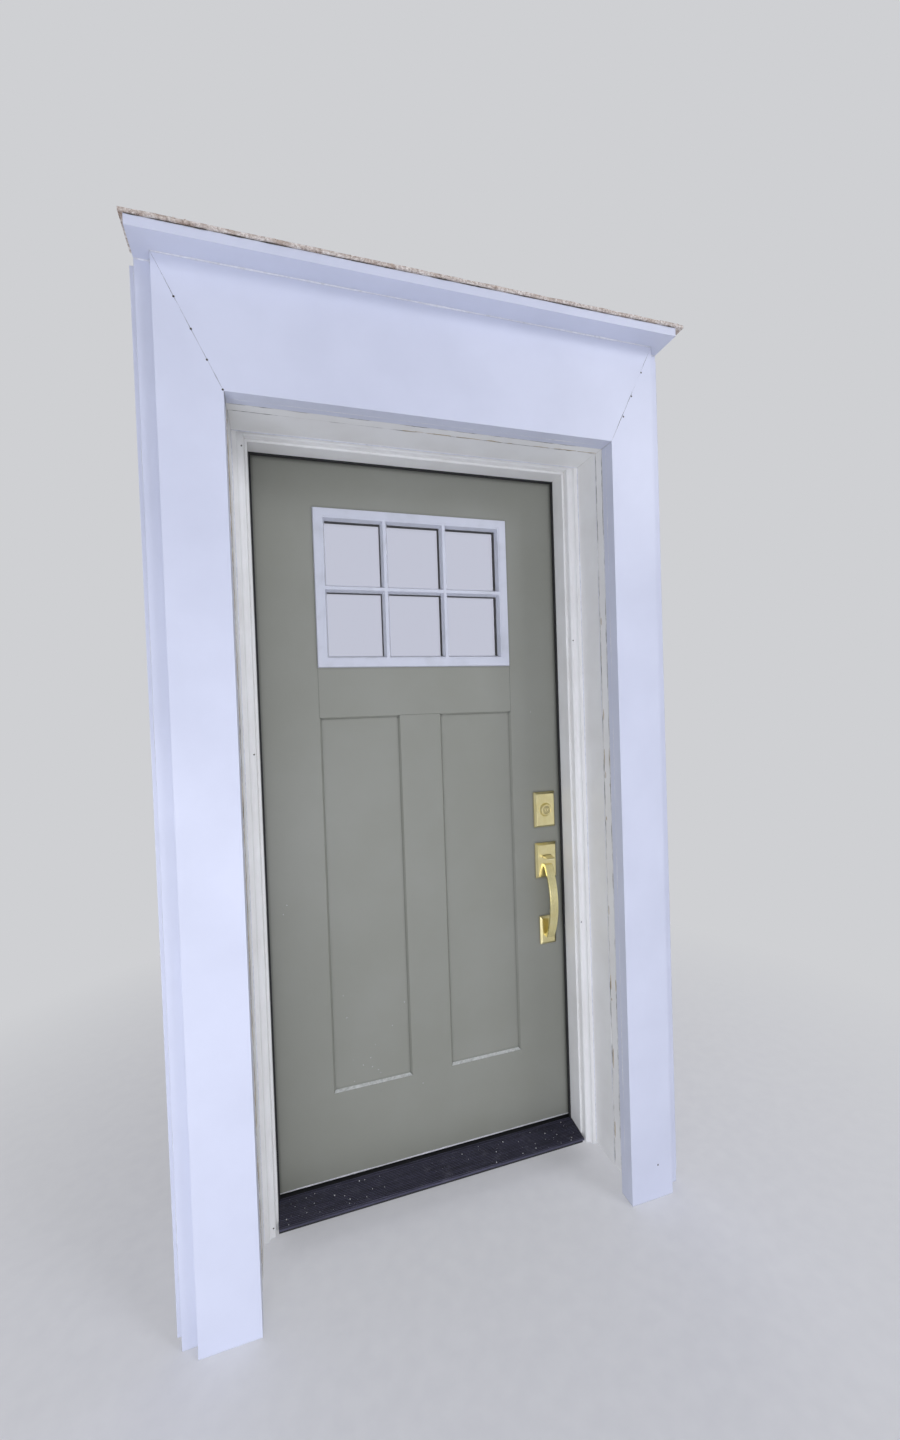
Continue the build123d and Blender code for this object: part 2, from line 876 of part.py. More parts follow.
def key_plug():
    face = plate_front - collar_depth + face_sink
    plug = rod((lock_x, face, bolt_z), (0, 1, 0), plug_radius, cylinder_length)
    plug -= block(lock_x - keyway_width / 2, lock_x + keyway_width / 2, face - 1, face + plate_depth,
                  bolt_z - keyway_height / 2, bolt_z + keyway_height / 2)
    return plug + block(lock_x - tail_width / 2, lock_x + tail_width / 2, face + cylinder_length - 0.1,
                        leaf_thickness, bolt_z - tail_thickness / 2, bolt_z + tail_thickness / 2)


def thumb_pivot():
    return (-thumb_pivot_in, latch_z - thumb_pivot_drop)


def upper_plate():
    # A hollow plate, slotted for the thumb piece, with two lugs that carry its pivot.
    z = latch_z - upper_plate_drop
    plate = lock_plate(z, plate_width, plate_height, plate_depth)
    inner_w = plate_width / 2 - plate_bevel - plate_wall
    inner_h = plate_height / 2 - plate_bevel - plate_wall
    plate -= block(lock_x - inner_w, lock_x + inner_w, plate_front + plate_wall, 1, z - inner_h, z + inner_h)
    half = thumb_width / 2 + thumb_slot_clear
    pivot_y, pivot_z = thumb_pivot()
    plate -= block(lock_x - half, lock_x + half, plate_front - 1, 0, pivot_z - thumb_thickness,
                   pivot_z + thumb_thickness * 2)
    for side in (-1, 1):
        near = lock_x + side * (half + thumb_lug_gap)
        far = near + side * thumb_lug
        plate += block(min(near, far), max(near, far), plate_front + plate_wall - 0.5, -0.5,
                       pivot_z - thumb_lug - 1, pivot_z + thumb_lug + 1)
    reach = half + thumb_lug_gap + thumb_lug + 1
    plate -= rod((lock_x - reach, pivot_y, pivot_z), (1, 0, 0), thumb_pivot_radius + pin_clear, reach * 2)
    return plate


def thumb_piece():
    pivot_y, pivot_z = thumb_pivot()
    top = pivot_z + thumb_thickness / 2
    low = pivot_z - thumb_thickness / 2
    drop = thumb_thickness
    tip = -thumb_out
    bend = (pivot_y + tip) / 2
    face = make_face([
        Line((lock_x - thumb_width / 2, pivot_y, top), (lock_x - thumb_width / 2, bend, top)),
        ThreePointArc((lock_x - thumb_width / 2, bend, top),
                      (lock_x - thumb_width / 2, (bend + tip) / 2, top - drop * 0.3),
                      (lock_x - thumb_width / 2, tip, top - drop)),
        Line((lock_x - thumb_width / 2, tip, top - drop), (lock_x - thumb_width / 2, tip, low - drop * 0.6)),
        ThreePointArc((lock_x - thumb_width / 2, tip, low - drop * 0.6),
                      (lock_x - thumb_width / 2, (bend + tip) / 2, low - drop * 0.15),
                      (lock_x - thumb_width / 2, bend, low)),
        Line((lock_x - thumb_width / 2, bend, low), (lock_x - thumb_width / 2, pivot_y, low)),
        Line((lock_x - thumb_width / 2, pivot_y, low), (lock_x - thumb_width / 2, pivot_y, top)),
    ])
    paddle = extrude(face, amount=thumb_width, dir=(1, 0, 0))
    reach = thumb_width / 2 + thumb_slot_clear + thumb_lug_gap + thumb_lug
    paddle += rod((lock_x - reach, pivot_y, pivot_z), (1, 0, 0), thumb_pivot_radius, reach * 2)
    tail = block(lock_x - thumb_lug, lock_x + thumb_lug, pivot_y, bolt_y - case_box / 2 - thumb_lug,
                 low, pivot_z)
    return paddle + tail


def grip():
    # A flat bow of one thickness, with a short return at each end into its plate.
    x0 = lock_x - grip_width / 2
    middle = (grip_top + grip_bottom) / 2
    t = grip_thickness
    outer_top = (x0, -grip_ends_out, grip_top)
    outer_low = (x0, -grip_ends_out, grip_bottom)
    inner_top = (x0, -grip_ends_out + t, grip_top - t)
    inner_low = (x0, -grip_ends_out + t, grip_bottom + t)
    face = make_face([
        ThreePointArc(outer_top, (x0, -grip_out, middle), outer_low),
        Polyline(outer_low, (x0, -lower_plate_depth, grip_bottom),
                 (x0, -lower_plate_depth, grip_bottom + t), inner_low),
        ThreePointArc(inner_low, (x0, -grip_out + t, middle), inner_top),
        Polyline(inner_top, (x0, plate_front, grip_top - t), (x0, plate_front, grip_top), outer_top),
    ])
    bar = extrude(face, amount=grip_width, dir=(1, 0, 0))
    long_edges = bar.edges().filter_by(GeomType.CIRCLE)
    return chamfer(long_edges, grip_ease)


def inner_deadbolt_plate():
    plate = to_inside(lock_plate(bolt_z, inner_plate, inner_plate, inner_plate_depth))
    return plate - rod((lock_x, 0, bolt_z), (0, 1, 0), turn_bore + turn_clear, through)


def thumbturn():
    base = leaf_thickness - skin
    face = leaf_thickness + inner_plate_depth
    hub = rod((lock_x, base + 1, bolt_z), (0, 1, 0), turn_bore, face - base + 1)
    hub -= rod((lock_x, 0, bolt_z), (0, 1, 0), tail_width, base + inner_plate_depth / 2)
    paddle = frustum(lock_x - turn_width / 2, lock_x + turn_width / 2, bolt_z - turn_length / 2,
                     bolt_z + turn_length / 2, face + 2, face + turn_out, turn_width * 0.2)
    return hub + paddle


def knob_rose():
    plate = to_inside(lock_plate(latch_z, inner_plate, inner_plate, inner_plate_depth))
    return plate - rod((lock_x, 0, latch_z), (0, 1, 0), knob_neck + turn_clear, through)


def inner_knob():
    # A turned knob on its neck, with the spindle that works the latch.
    base = leaf_thickness + 1
    neck_end = leaf_thickness + inner_plate_depth + knob_out * 0.25
    end = leaf_thickness + inner_plate_depth + knob_out
    belly = neck_end + (end - neck_end) * 0.55
    section = make_face([
        Polyline((0, end), (0, base), (knob_neck, base), (knob_neck, neck_end)),
        ThreePointArc((knob_neck, neck_end), (knob_radius * 0.86, neck_end + (belly - neck_end) * 0.42),
                      (knob_radius, belly)),
        ThreePointArc((knob_radius, belly), (knob_radius * 0.9, end - (end - belly) * 0.38),
                      (knob_radius * 0.66, end)),
        Line((knob_radius * 0.66, end), (0, end)),
    ])
    knob = revolve(section, Axis.Y)
    tip = bolt_y - case_box / 2
    knob += rod((0, tip, 0), (0, 1, 0), spindle_radius, base + 1 - tip)
    return Pos(lock_x, 0, latch_z) * knob


# Frame

right_jamb = side_jamb()
left_jamb = flip(right_jamb)
for pocket in hinge_rebates("jamb"):
    left_jamb -= pocket
for hole in hinge_screws("jamb", screw_clear):
    left_jamb -= hole
for level, lip in ((bolt_z, False), (latch_z, True)):
    right_jamb -= strike_blank(level, lip)
    right_jamb -= bolt_hole(level, rebate_x, strike_slack)
    for hole in strike_screws(level, screw_clear):
        right_jamb -= hole
save(left_jamb, "jamb_hinge_side")
save(right_jamb, "jamb_latch_side")
save(head_jamb(), "jamb_head")

right_seal = side_seal()
save(Compound(children=[flip(right_seal), right_seal, head_seal()]), "weatherstrip")

right_mould = side_mould()
save(flip(right_mould), "brickmould_left")
save(right_mould, "brickmould_right")
save(head_mould(), "brickmould_head")

save(sill_base(), "sill_base")
save(sill_deck(), "sill_deck")
save(sill_cap(), "sill_cap")

right_lining = side_board(lining_x, lining_thickness, lining_front, lining_depth, lining_foot, lining_z)
save(flip(right_lining), "lining_left")
save(right_lining, "lining_right")
save(head_board(lining_x + lining_thickness, lining_front, lining_depth, lining_z,
                lining_z + lining_thickness), "lining_head")
save(furring_boards(), "furring_boards")

right_back = side_board(casing_x, back_half - casing_x, back_front, back_thickness, casing_foot, casing_top)
save(flip(right_back), "back_board_left")
save(right_back, "back_board_right")
save(head_board(casing_x, back_front, back_thickness, casing_z, casing_top), "back_board_head")

right_casing = casing_side()
save(flip(right_casing), "casing_left")
save(right_casing, "casing_right")
save(casing_head(), "casing_head")
save(scribe_strips(), "scribe_strips")
save(block(-back_half, back_half, cap_front, wall_y, casing_top, cap_top), "cap_board")
save(drip_cap(), "drip_cap")

save(strike(bolt_z, False), "strike_deadbolt")
save(strike(latch_z, True), "strike_latch")
save(Compound(children=[hinge_leaf("jamb", z) for z in hinge_heights.values()]), "hinge_jamb_leaves")
save(hinge_pins(), "hinge_pins")
save(Compound(children=hinge_screws("jamb", 0) + strike_screws(bolt_z, 0) + strike_screws(latch_z, 0)),
     "frame_screws")

# Leaf

outer_skin = leaf_skin()
inner_skin = to_inside(outer_skin)
for pocket in hinge_rebates("leaf"):
    inner_skin -= pocket
save(outer_skin, "leaf_outer_skin")
save(inner_skin, "leaf_inner_skin")
left_stile = hinge_stile()
for hole in hinge_screws("leaf", screw_clear):
    left_stile -= hole
save(left_stile, "leaf_hinge_stile")
save(lock_stile(), "leaf_lock_stile")
save(leaf_rails(), "leaf_rails")
save(leaf_core(), "leaf_core")

outer_window = window_frame()
save(outer_window, "window_frame_outer")
save(to_inside(outer_window), "window_frame_inner")
save(pane(pane_depth), "pane_outer")
save(pane(pane_back - pane_thickness), "pane_inner")
save(pane_spacer(), "pane_spacer")
save(door_sweep(), "door_sweep")

for name, z in hinge_heights.items():
    save(hinge_leaf("leaf", z), f"hinge_door_leaf_{name}")
save(Compound(children=hinge_screws("leaf", 0) + faceplate_screws(bolt_z, 0) + faceplate_screws(latch_z, 0)),
     "leaf_screws")

save(deadbolt_plate(), "deadbolt_plate_outer")
save(lock_cylinder(), "deadbolt_cylinder")
save(key_plug(), "key_plug")
save(bolt_case(bolt_z), "deadbolt_case")
save(bolt_bar(bolt_z, bolt_throw + bolt_hold), "deadbolt_bolt")
save(inner_deadbolt_plate(), "deadbolt_plate_inner")
save(thumbturn(), "thumbturn")

save(upper_plate(), "handle_plate_upper")
save(thumb_piece(), "thumb_piece")
save(grip(), "handle_grip")
save(lock_plate(latch_z - lower_plate_drop, lower_plate_width, lower_plate_height, lower_plate_depth),
     "handle_plate_lower")
save(bolt_case(latch_z), "latch_case")
save(latch_bar(), "latch_bolt")
save(knob_rose(), "knob_rose")
save(inner_knob(), "inner_knob")
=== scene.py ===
import bpy
import bmesh
import math
import random
from mathutils import Matrix, Vector, noise


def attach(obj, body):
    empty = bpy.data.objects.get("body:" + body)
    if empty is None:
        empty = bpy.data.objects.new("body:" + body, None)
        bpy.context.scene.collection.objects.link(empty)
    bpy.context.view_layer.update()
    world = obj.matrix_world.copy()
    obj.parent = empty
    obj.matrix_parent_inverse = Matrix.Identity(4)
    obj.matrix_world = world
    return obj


# Panelled front door in its frame: paint, brass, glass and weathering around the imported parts.
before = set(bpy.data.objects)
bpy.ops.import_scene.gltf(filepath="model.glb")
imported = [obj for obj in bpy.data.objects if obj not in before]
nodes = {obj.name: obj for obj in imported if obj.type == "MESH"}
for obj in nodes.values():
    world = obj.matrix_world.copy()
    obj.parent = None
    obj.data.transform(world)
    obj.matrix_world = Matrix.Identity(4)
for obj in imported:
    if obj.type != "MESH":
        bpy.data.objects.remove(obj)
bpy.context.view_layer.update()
print("frame loaded,", len(nodes), "parts")

mm = 0.001


# Shared helpers

def linear(hexColour):
    # sRGB hex, as read off a paint card, to the linear values that the shader takes
    values = [int(hexColour[i:i + 2], 16) / 255 for i in (1, 3, 5)]
    return [v / 12.92 if v <= 0.04045 else ((v + 0.055) / 1.055) ** 2.4 for v in values] + [1.0]


def perMetre(size):
    # texture scale for a pattern whose features are this many millimetres across, or so many along each axis
    if isinstance(size, (list, tuple)):
        return [1000.0 / s for s in size]
    return 1000.0 / size


def between(low, high, toLow=0.0, toHigh=1.0):
    # settings that stretch one range of values over another
    return {"From Min": low, "From Max": high, "To Min": toLow, "To Max": toHigh}


def addNode(tree, kind, settings=None, links=None, give=0):
    # one shader node; settings are its properties, its sockets' values or its colour stops, links are the
    # sockets that feed it, and give says which of its outputs comes back
    node = tree.nodes.new("ShaderNode" + kind)
    for key, value in (settings or {}).items():
        if key == "stops":
            elements = node.color_ramp.elements
            while len(elements) < len(value):
                elements.new(0.5)
            for element, (place, colour) in zip(elements, value):
                element.position = place
                element.color = linear(colour)
        elif isinstance(key, str) and hasattr(node, key):
            setattr(node, key, value)
        else:
            node.inputs[key].default_value = linear(value) if isinstance(value, str) else value
    for key, source in (links or {}).items():
        tree.links.new(source, node.inputs[key])
    return node.outputs[give]


def newMaterial(name, hexColour, **sockets):
    # a Principled surface with its whole-surface numbers set on its own sockets
    material = bpy.data.materials.new(name)
    material.use_nodes = True
    tree = material.node_tree
    shader = tree.nodes["Principled BSDF"]
    shader.inputs["Base Color"].default_value = linear(hexColour)
    for key, value in sockets.items():
        shader.inputs[key.replace("_", " ")].default_value = value
    material.diffuse_color = linear(hexColour)
    return material, tree, shader


def finishSurface(tree, shader, colour, rough=None, bumps=(), edge=0.0):
    # plugs in the colour and what varies; bumps are (height, depth in millimetres), edge is the radius in
    # millimetres that sharp corners are eased to
    tree.links.new(colour, shader.inputs["Base Color"])
    if rough is not None:
        tree.links.new(rough, shader.inputs["Roughness"])
    normal = None
    if edge:
        normal = addNode(tree, "Bevel", {"samples": 4, "Radius": edge * mm})
    for height, depth in bumps:
        links = {"Height": height}
        if normal is not None:
            links["Normal"] = normal
        normal = addNode(tree, "Bump", {"Strength": 1.0, "Distance": depth * mm}, links)
    if normal is not None:
        tree.links.new(normal, shader.inputs["Normal"])


# Paint and wood

def makeLeafPaint():
    # Satin acrylic enamel sprayed on pressed sheet: even, faintly orange-peeled, with soft dusty clouds;
    # painted shade darkens the creases, most on the slopes that face down or towards the hinges, as if lit from
    # above and from the latch side
    look = {"colour": "#898a7f", "worn": "#8e8f85", "creaseShade": "#2c2e29", "peel": 2.6, "cloud": 240.0,
            "corner": 9.0, "edge": 0.5}
    material, tree, shader = newMaterial("satinEnamelSage", look["colour"], Roughness=0.44, IOR=1.5)
    place = addNode(tree, "TexCoord", give="Object")
    cloud = addNode(tree, "TexNoise", {"Scale": perMetre(look["cloud"]), "Detail": 4.0}, {"Vector": place})
    peel = addNode(tree, "TexNoise", {"Scale": perMetre(look["peel"]), "Detail": 2.0}, {"Vector": place})
    worn = addNode(tree, "MapRange", between(0.4, 0.75), {"Value": cloud})
    tint = addNode(tree, "Mix", {"data_type": "RGBA", 6: look["colour"], 7: look["worn"]}, {0: worn}, 2)
    corner = addNode(tree, "AmbientOcclusion", {"samples": 4, "Distance": look["corner"] * mm}, give="AO")
    close = addNode(tree, "MapRange", between(0.9, 0.5), {"Value": corner})
    normal = addNode(tree, "TexCoord", give="Normal")
    facing = addNode(tree, "SeparateXYZ", None, {0: normal}).node.outputs
    # painted shade: slopes that face down or towards the hinges are darkened as if the light came from above
    # and the latch side
    turned = addNode(tree, "Math", {"operation": "MINIMUM"}, {0: facing["X"], 1: facing["Z"]})
    shadedFacing = addNode(tree, "MapRange", between(-0.1, -0.5, 0.5, 1.0), {"Value": turned})
    # painted shade in the creases, strongest on those slopes
    paintedShade = addNode(tree, "Math", {"operation": "MULTIPLY"}, {0: close, 1: shadedFacing})
    colour = addNode(tree, "Mix", {"data_type": "RGBA", 7: look["creaseShade"]}, {0: paintedShade, 6: tint}, 2)
    rough = addNode(tree, "MapRange", between(0.3, 0.7, 0.42, 0.47), {"Value": cloud})
    finishSurface(tree, shader, colour, rough, [(peel, 0.03)], look["edge"])
    return material


def makeBoardPaint(name, along, look):
    # Latex paint brushed along a board: strokes run with the length, and painted shade darkens its corners in
    # patches
    material, tree, shader = newMaterial(name, look["colour"], Roughness=look["rough"], IOR=1.48)
    stretch = 60  # a stroke is this many times as long as it is wide
    size = [look["stroke"]] * 3
    size["xyz".index(along)] = look["stroke"] * stretch
    place = addNode(tree, "TexCoord", give="Object")
    lengthwise = addNode(tree, "Mapping", {"Scale": perMetre(size)}, {"Vector": place})
    strokes = addNode(tree, "TexNoise", {"Scale": 1.0, "Detail": 3.0, "Roughness": 0.6}, {"Vector": lengthwise})
    waves = addNode(tree, "TexNoise", {"Scale": perMetre(look["cloud"]), "Detail": 4.0}, {"Vector": place})
    smudge = addNode(tree, "TexNoise", {"Scale": perMetre(look["smudge"]), "Detail": 4.0}, {"Vector": place})
    shade = addNode(tree, "MapRange", between(0.35, 0.75), {"Value": waves})
    tint = addNode(tree, "Mix", {"data_type": "RGBA", 6: look["colour"], 7: look["shade"]}, {0: shade}, 2)
    corner = addNode(tree, "AmbientOcclusion", {"samples": 4, "Distance": look["corner"] * mm}, give="AO")
    close = addNode(tree, "MapRange", between(0.75, 0.3), {"Value": corner})
    patchy = addNode(tree, "MapRange", between(0.35, 0.65, 0.35, 1.0), {"Value": smudge})
    # painted shade in the corners, broken into patches
    paintedShade = addNode(tree, "Math", {"operation": "MULTIPLY"}, {0: close, 1: patchy})
    colour = addNode(tree, "Mix", {"data_type": "RGBA", 7: look["paintedShade"]}, {0: paintedShade, 6: tint}, 2)
    finishSurface(tree, shader, colour, None, [(strokes, 0.06), (waves, 0.5)], look["edge"])
    return material


def makeBareWood():
    # Planed pine: cream and tan growth rings, seen only on the leaf's edges
    material, tree, shader = newMaterial("planedPine", "#d3b78c", Roughness=0.55, IOR=1.5)
    place = addNode(tree, "TexCoord", give="Object")
    lengthwise = addNode(tree, "Mapping", {"Scale": perMetre((40.0, 40.0, 900.0))}, {"Vector": place})
    grain = addNode(tree, "TexWave", {"Scale": 1.0, "Distortion": 6.0, "Detail": 3.0, "bands_direction": "X"},
                    {"Vector": lengthwise}, "Fac")
    rings = [(0.1, "#dcc39a"), (0.6, "#cbab7c"), (0.95, "#a98555")]
    colour = addNode(tree, "ValToRGB", {"stops": rings}, {"Fac": grain})
    finishSurface(tree, shader, colour, None, [(grain, 0.08)], 0.5)
    return material


def makeFoam():
    # Poured polyurethane foam: fine open cells, drawn a little coarse so that they show
    material, tree, shader = newMaterial("polyurethaneFoam", "#d8c89a", Roughness=0.9)
    place = addNode(tree, "TexCoord", give="Object")
    cells = addNode(tree, "TexVoronoi", {"Scale": perMetre(1.6)}, {"Vector": place}, "Distance")
    colour = addNode(tree, "ValToRGB", {"stops": [(0.0, "#b7a578"), (0.5, "#e2d4a8")]}, {"Fac": cells})
    finishSurface(tree, shader, colour, None, [(cells, 0.4)])
    return material


# Plastics, rubber and glass

def makeWindowPlastic():
    # Injection-moulded PVC: cool white, satin, with a faint mould texture that is drawn near a millimetre
    # coarse so that it shows
    material, tree, shader = newMaterial("mouldedPvcWhite", "#cacdd6", Roughness=0.36, IOR=1.53)
    place = addNode(tree, "TexCoord", give="Object")
    grit = addNode(tree, "TexNoise", {"Scale": perMetre(0.9), "Detail": 2.0}, {"Vector": place})
    dirt = addNode(tree, "TexNoise", {"Scale": perMetre(60.0), "Detail": 4.0}, {"Vector": place})
    share = addNode(tree, "MapRange", between(0.5, 0.8), {"Value": dirt})
    colour = addNode(tree, "Mix", {"data_type": "RGBA", 6: "#cacdd6", 7: "#bcbfc6"}, {0: share}, 2)
    finishSurface(tree, shader, colour, None, [(grit, 0.02)], 0.5)
    return material


def makeGlass():
    # Clear float glass of a sealed unit: smooth and seen through; its faint cool blue tint is a painted
    # reflection of sky
    return newMaterial("clearFloatGlass", "#f6f7ff", Roughness=0.0, IOR=1.52, Transmission_Weight=1.0)[0]


def makeRubber(name, colour, grit):
    # Extruded EPDM: matt black with a light bloom, its grain drawn coarse so that it shows
    material, tree, shader = newMaterial(name, colour, Roughness=0.62, IOR=1.5)
    place = addNode(tree, "TexCoord", give="Object")
    fine = addNode(tree, "TexNoise", {"Scale": perMetre(grit), "Detail": 3.0}, {"Vector": place})
    bloom = addNode(tree, "ValToRGB", {"stops": [(0.3, colour), (0.9, "#2c2c2e")]}, {"Fac": fine})
    finishSurface(tree, shader, bloom, None, [(fine, 0.08)], 0.3)
    return material


def makeSillBlack():
    # Black anodised aluminium tread: the ribs' crests are scuffed by feet, and painted shade keeps the grooves
    # black
    look = {"colour": "#22222b", "grooveShade": "#08080b", "dust": "#6c6b72",
            "scuffs": [(0.3, "#2c2b3b"), (0.62, "#49475c"), (0.85, "#64627a")]}
    material, tree, shader = newMaterial("blackAnodisedSill", look["colour"], Roughness=0.5, IOR=1.5)
    place = addNode(tree, "TexCoord", give="Object")
    lengthwise = addNode(tree, "Mapping", {"Scale": perMetre((120.0, 8.0, 8.0))}, {"Vector": place})
    scuff = addNode(tree, "TexNoise", {"Scale": 1.0, "Detail": 5.0, "Roughness": 0.7}, {"Vector": lengthwise})
    dust = addNode(tree, "TexNoise", {"Scale": perMetre(28.0), "Detail": 6.0, "Roughness": 0.65},
                   {"Vector": place})
    crests = addNode(tree, "ValToRGB", {"stops": look["scuffs"]}, {"Fac": scuff})
    corner = addNode(tree, "AmbientOcclusion", {"samples": 4, "Distance": 4.0 * mm}, give="AO")
    # painted shade in the grooves between the ribs
    deep = addNode(tree, "MapRange", between(0.95, 0.6), {"Value": corner})
    ribbed = addNode(tree, "Mix", {"data_type": "RGBA", 7: look["grooveShade"]}, {0: deep, 6: crests}, 2)
    thick = addNode(tree, "MapRange", between(0.55, 0.85, 0.0, 0.55), {"Value": dust})
    colour = addNode(tree, "Mix", {"data_type": "RGBA", 7: look["dust"]}, {0: thick, 6: ribbed}, 2)
    rough = addNode(tree, "MapRange", between(0.4, 0.8, 0.38, 0.75), {"Value": dust})
    finishSurface(tree, shader, colour, rough, [(scuff, 0.1)], 0.3)
    return material


# Metals

def makeSatinBrass(name, tones, smooth, dull):
    # Solid brass, brushed upright and lacquered: pale gold with a soft, streaked shine;
    # the real brush lines are near 0.1 mm and are drawn 0.5 mm wide so that they show
    material, tree, shader = newMaterial(name, tones[0], Metallic=1.0, Roughness=(smooth + dull) / 2)
    place = addNode(tree, "TexCoord", give="Object")
    upright = addNode(tree, "Mapping", {"Scale": perMetre((0.5, 0.5, 26.0))}, {"Vector": place})
    strokes = addNode(tree, "TexNoise", {"Scale": 1.0, "Detail": 3.0, "Roughness": 0.6}, {"Vector": upright})
    cloud = addNode(tree, "TexNoise", {"Scale": perMetre(18.0), "Detail": 3.0}, {"Vector": place})
    handled = addNode(tree, "MapRange", between(0.35, 0.75), {"Value": cloud})
    base = addNode(tree, "Mix", {"data_type": "RGBA", 6: tones[0], 7: tones[1]}, {0: handled}, 2)
    lines = addNode(tree, "MapRange", between(0.3, 0.7, 0.0, 0.35), {"Value": strokes})
    colour = addNode(tree, "Mix", {"data_type": "RGBA", 7: tones[2]}, {0: lines, 6: base}, 2)
    rough = addNode(tree, "MapRange", between(0.2, 0.8, smooth, dull), {"Value": strokes})
    finishSurface(tree, shader, colour, rough, [(strokes, 0.012)], 0.6)
    return material


def makeSteel():
    # Brushed nickel-plated steel of hinges and bolts, its brush lines drawn coarse so that they show
    material, tree, shader = newMaterial("brushedSteel", "#a9a7a2", Metallic=1.0, Roughness=0.36)
    place = addNode(tree, "TexCoord", give="Object")
    upright = addNode(tree, "Mapping", {"Scale": perMetre((0.4, 0.4, 18.0))}, {"Vector": place})
    strokes = addNode(tree, "TexNoise", {"Scale": 1.0, "Detail": 3.0, "Roughness": 0.6}, {"Vector": upright})
    colour = addNode(tree, "ValToRGB", {"stops": [(0.2, "#94928d"), (0.8, "#b5b3ae")]}, {"Fac": strokes})
    rough = addNode(tree, "MapRange", between(0.2, 0.8, 0.3, 0.46), {"Value": strokes})
    finishSurface(tree, shader, colour, rough, [(strokes, 0.01)], 0.3)
    return material


def makeSpacerMetal():
    # Mill-finish aluminium edge spacer of the glass unit, its rolling lines drawn coarse so that they show
    material, tree, shader = newMaterial("millAluminium", "#b9bbbd", Metallic=1.0, Roughness=0.42)
    place = addNode(tree, "TexCoord", give="Object")
    lengthwise = addNode(tree, "Mapping", {"Scale": perMetre((30.0, 0.5, 0.5))}, {"Vector": place})
    strokes = addNode(tree, "TexNoise", {"Scale": 1.0, "Detail": 2.0}, {"Vector": lengthwise})
    colour = addNode(tree, "ValToRGB", {"stops": [(0.2, "#a9abad"), (0.8, "#c6c8ca")]}, {"Fac": strokes})
    finishSurface(tree, shader, colour)
    return material


def makeRawBoard():
    # Snapped edge of cement board: chalky, pink-grey and granular
    grains = [(0.3, "#6e5e56"), (0.44, "#c2b4a8"), (0.58, "#ebe5dc")]
    material, tree, shader = newMaterial("rawCementBoard", "#a7978d", Roughness=0.92)
    place = addNode(tree, "TexCoord", give="Object")
    grain = addNode(tree, "TexNoise", {"Scale": perMetre(6.0), "Detail": 6.0, "Roughness": 0.75},
                    {"Vector": place})
    patch = addNode(tree, "TexNoise", {"Scale": perMetre(26.0), "Detail": 4.0}, {"Vector": place})
    base = addNode(tree, "ValToRGB", {"stops": grains}, {"Fac": grain})
    share = addNode(tree, "MapRange", between(0.45, 0.7), {"Value": patch})
    colour = addNode(tree, "Mix", {"data_type": "RGBA", "blend_type": "MULTIPLY", 7: "#d3c5ba"},
                     {0: share, 6: base}, 2)
    finishSurface(tree, shader, colour, None, [(grain, 2.0)])
    return material


# the casing's white is tinted blue, standing in for cool sky light on it; in both looks the darker corner
# colour is painted shade
trimLook = {"colour": "#d4d8e6", "shade": "#ccd0de", "paintedShade": "#a8a69c", "rough": 0.42, "stroke": 1.6,
            "cloud": 210.0, "smudge": 35.0, "corner": 9.0, "edge": 1.0}
frameLook = {"colour": "#f0f0ed", "shade": "#e8e7e3", "paintedShade": "#a8a294", "rough": 0.4, "stroke": 1.4,
             "cloud": 120.0, "smudge": 35.0, "corner": 4.0, "edge": 0.9}

materials = {
    "leafPaint": makeLeafPaint(),
    "trimUpright": makeBoardPaint("brushedLatexUpright", "z", trimLook),
    "trimAcross": makeBoardPaint("brushedLatexAcross", "x", trimLook),
    "frameUpright": makeBoardPaint("oldEnamelUpright", "z", frameLook),
    "frameAcross": makeBoardPaint("oldEnamelAcross", "x", frameLook),
    "bareWood": makeBareWood(),
    "foam": makeFoam(),
    "windowPlastic": makeWindowPlastic(),
    "glass": makeGlass(),
    "spacerMetal": makeSpacerMetal(),
    "sealRubber": makeRubber("epdmSeal", "#0c0c0d", 1.2),
    "sillBlack": makeSillBlack(),
    "sillBody": makeRubber("blackComposite", "#111113", 2.0),
    "satinBrass": makeSatinBrass("satinBrass", ("#f6eab6", "#eddfa2", "#dccd8c"), 0.24, 0.38),
    # a paler copy of the satin brass with a sharper shine, painted lighter so that the grip reads as lit
    "litGripBrass": makeSatinBrass("litGripBrass", ("#fbf0b8", "#f6e8a6", "#e9d992"), 0.2, 0.32),
    # a paler, duller copy of the satin brass, painted lighter so that the thumb piece reads as lit
    "litThumbBrass": makeSatinBrass("litThumbBrass", ("#fbf3cf", "#f5eabc", "#e9dca6"), 0.46, 0.58),
    "lockSteel": makeSteel(),
    "rawBoard": makeRawBoard(),
}
print("materials made,", len(materials))

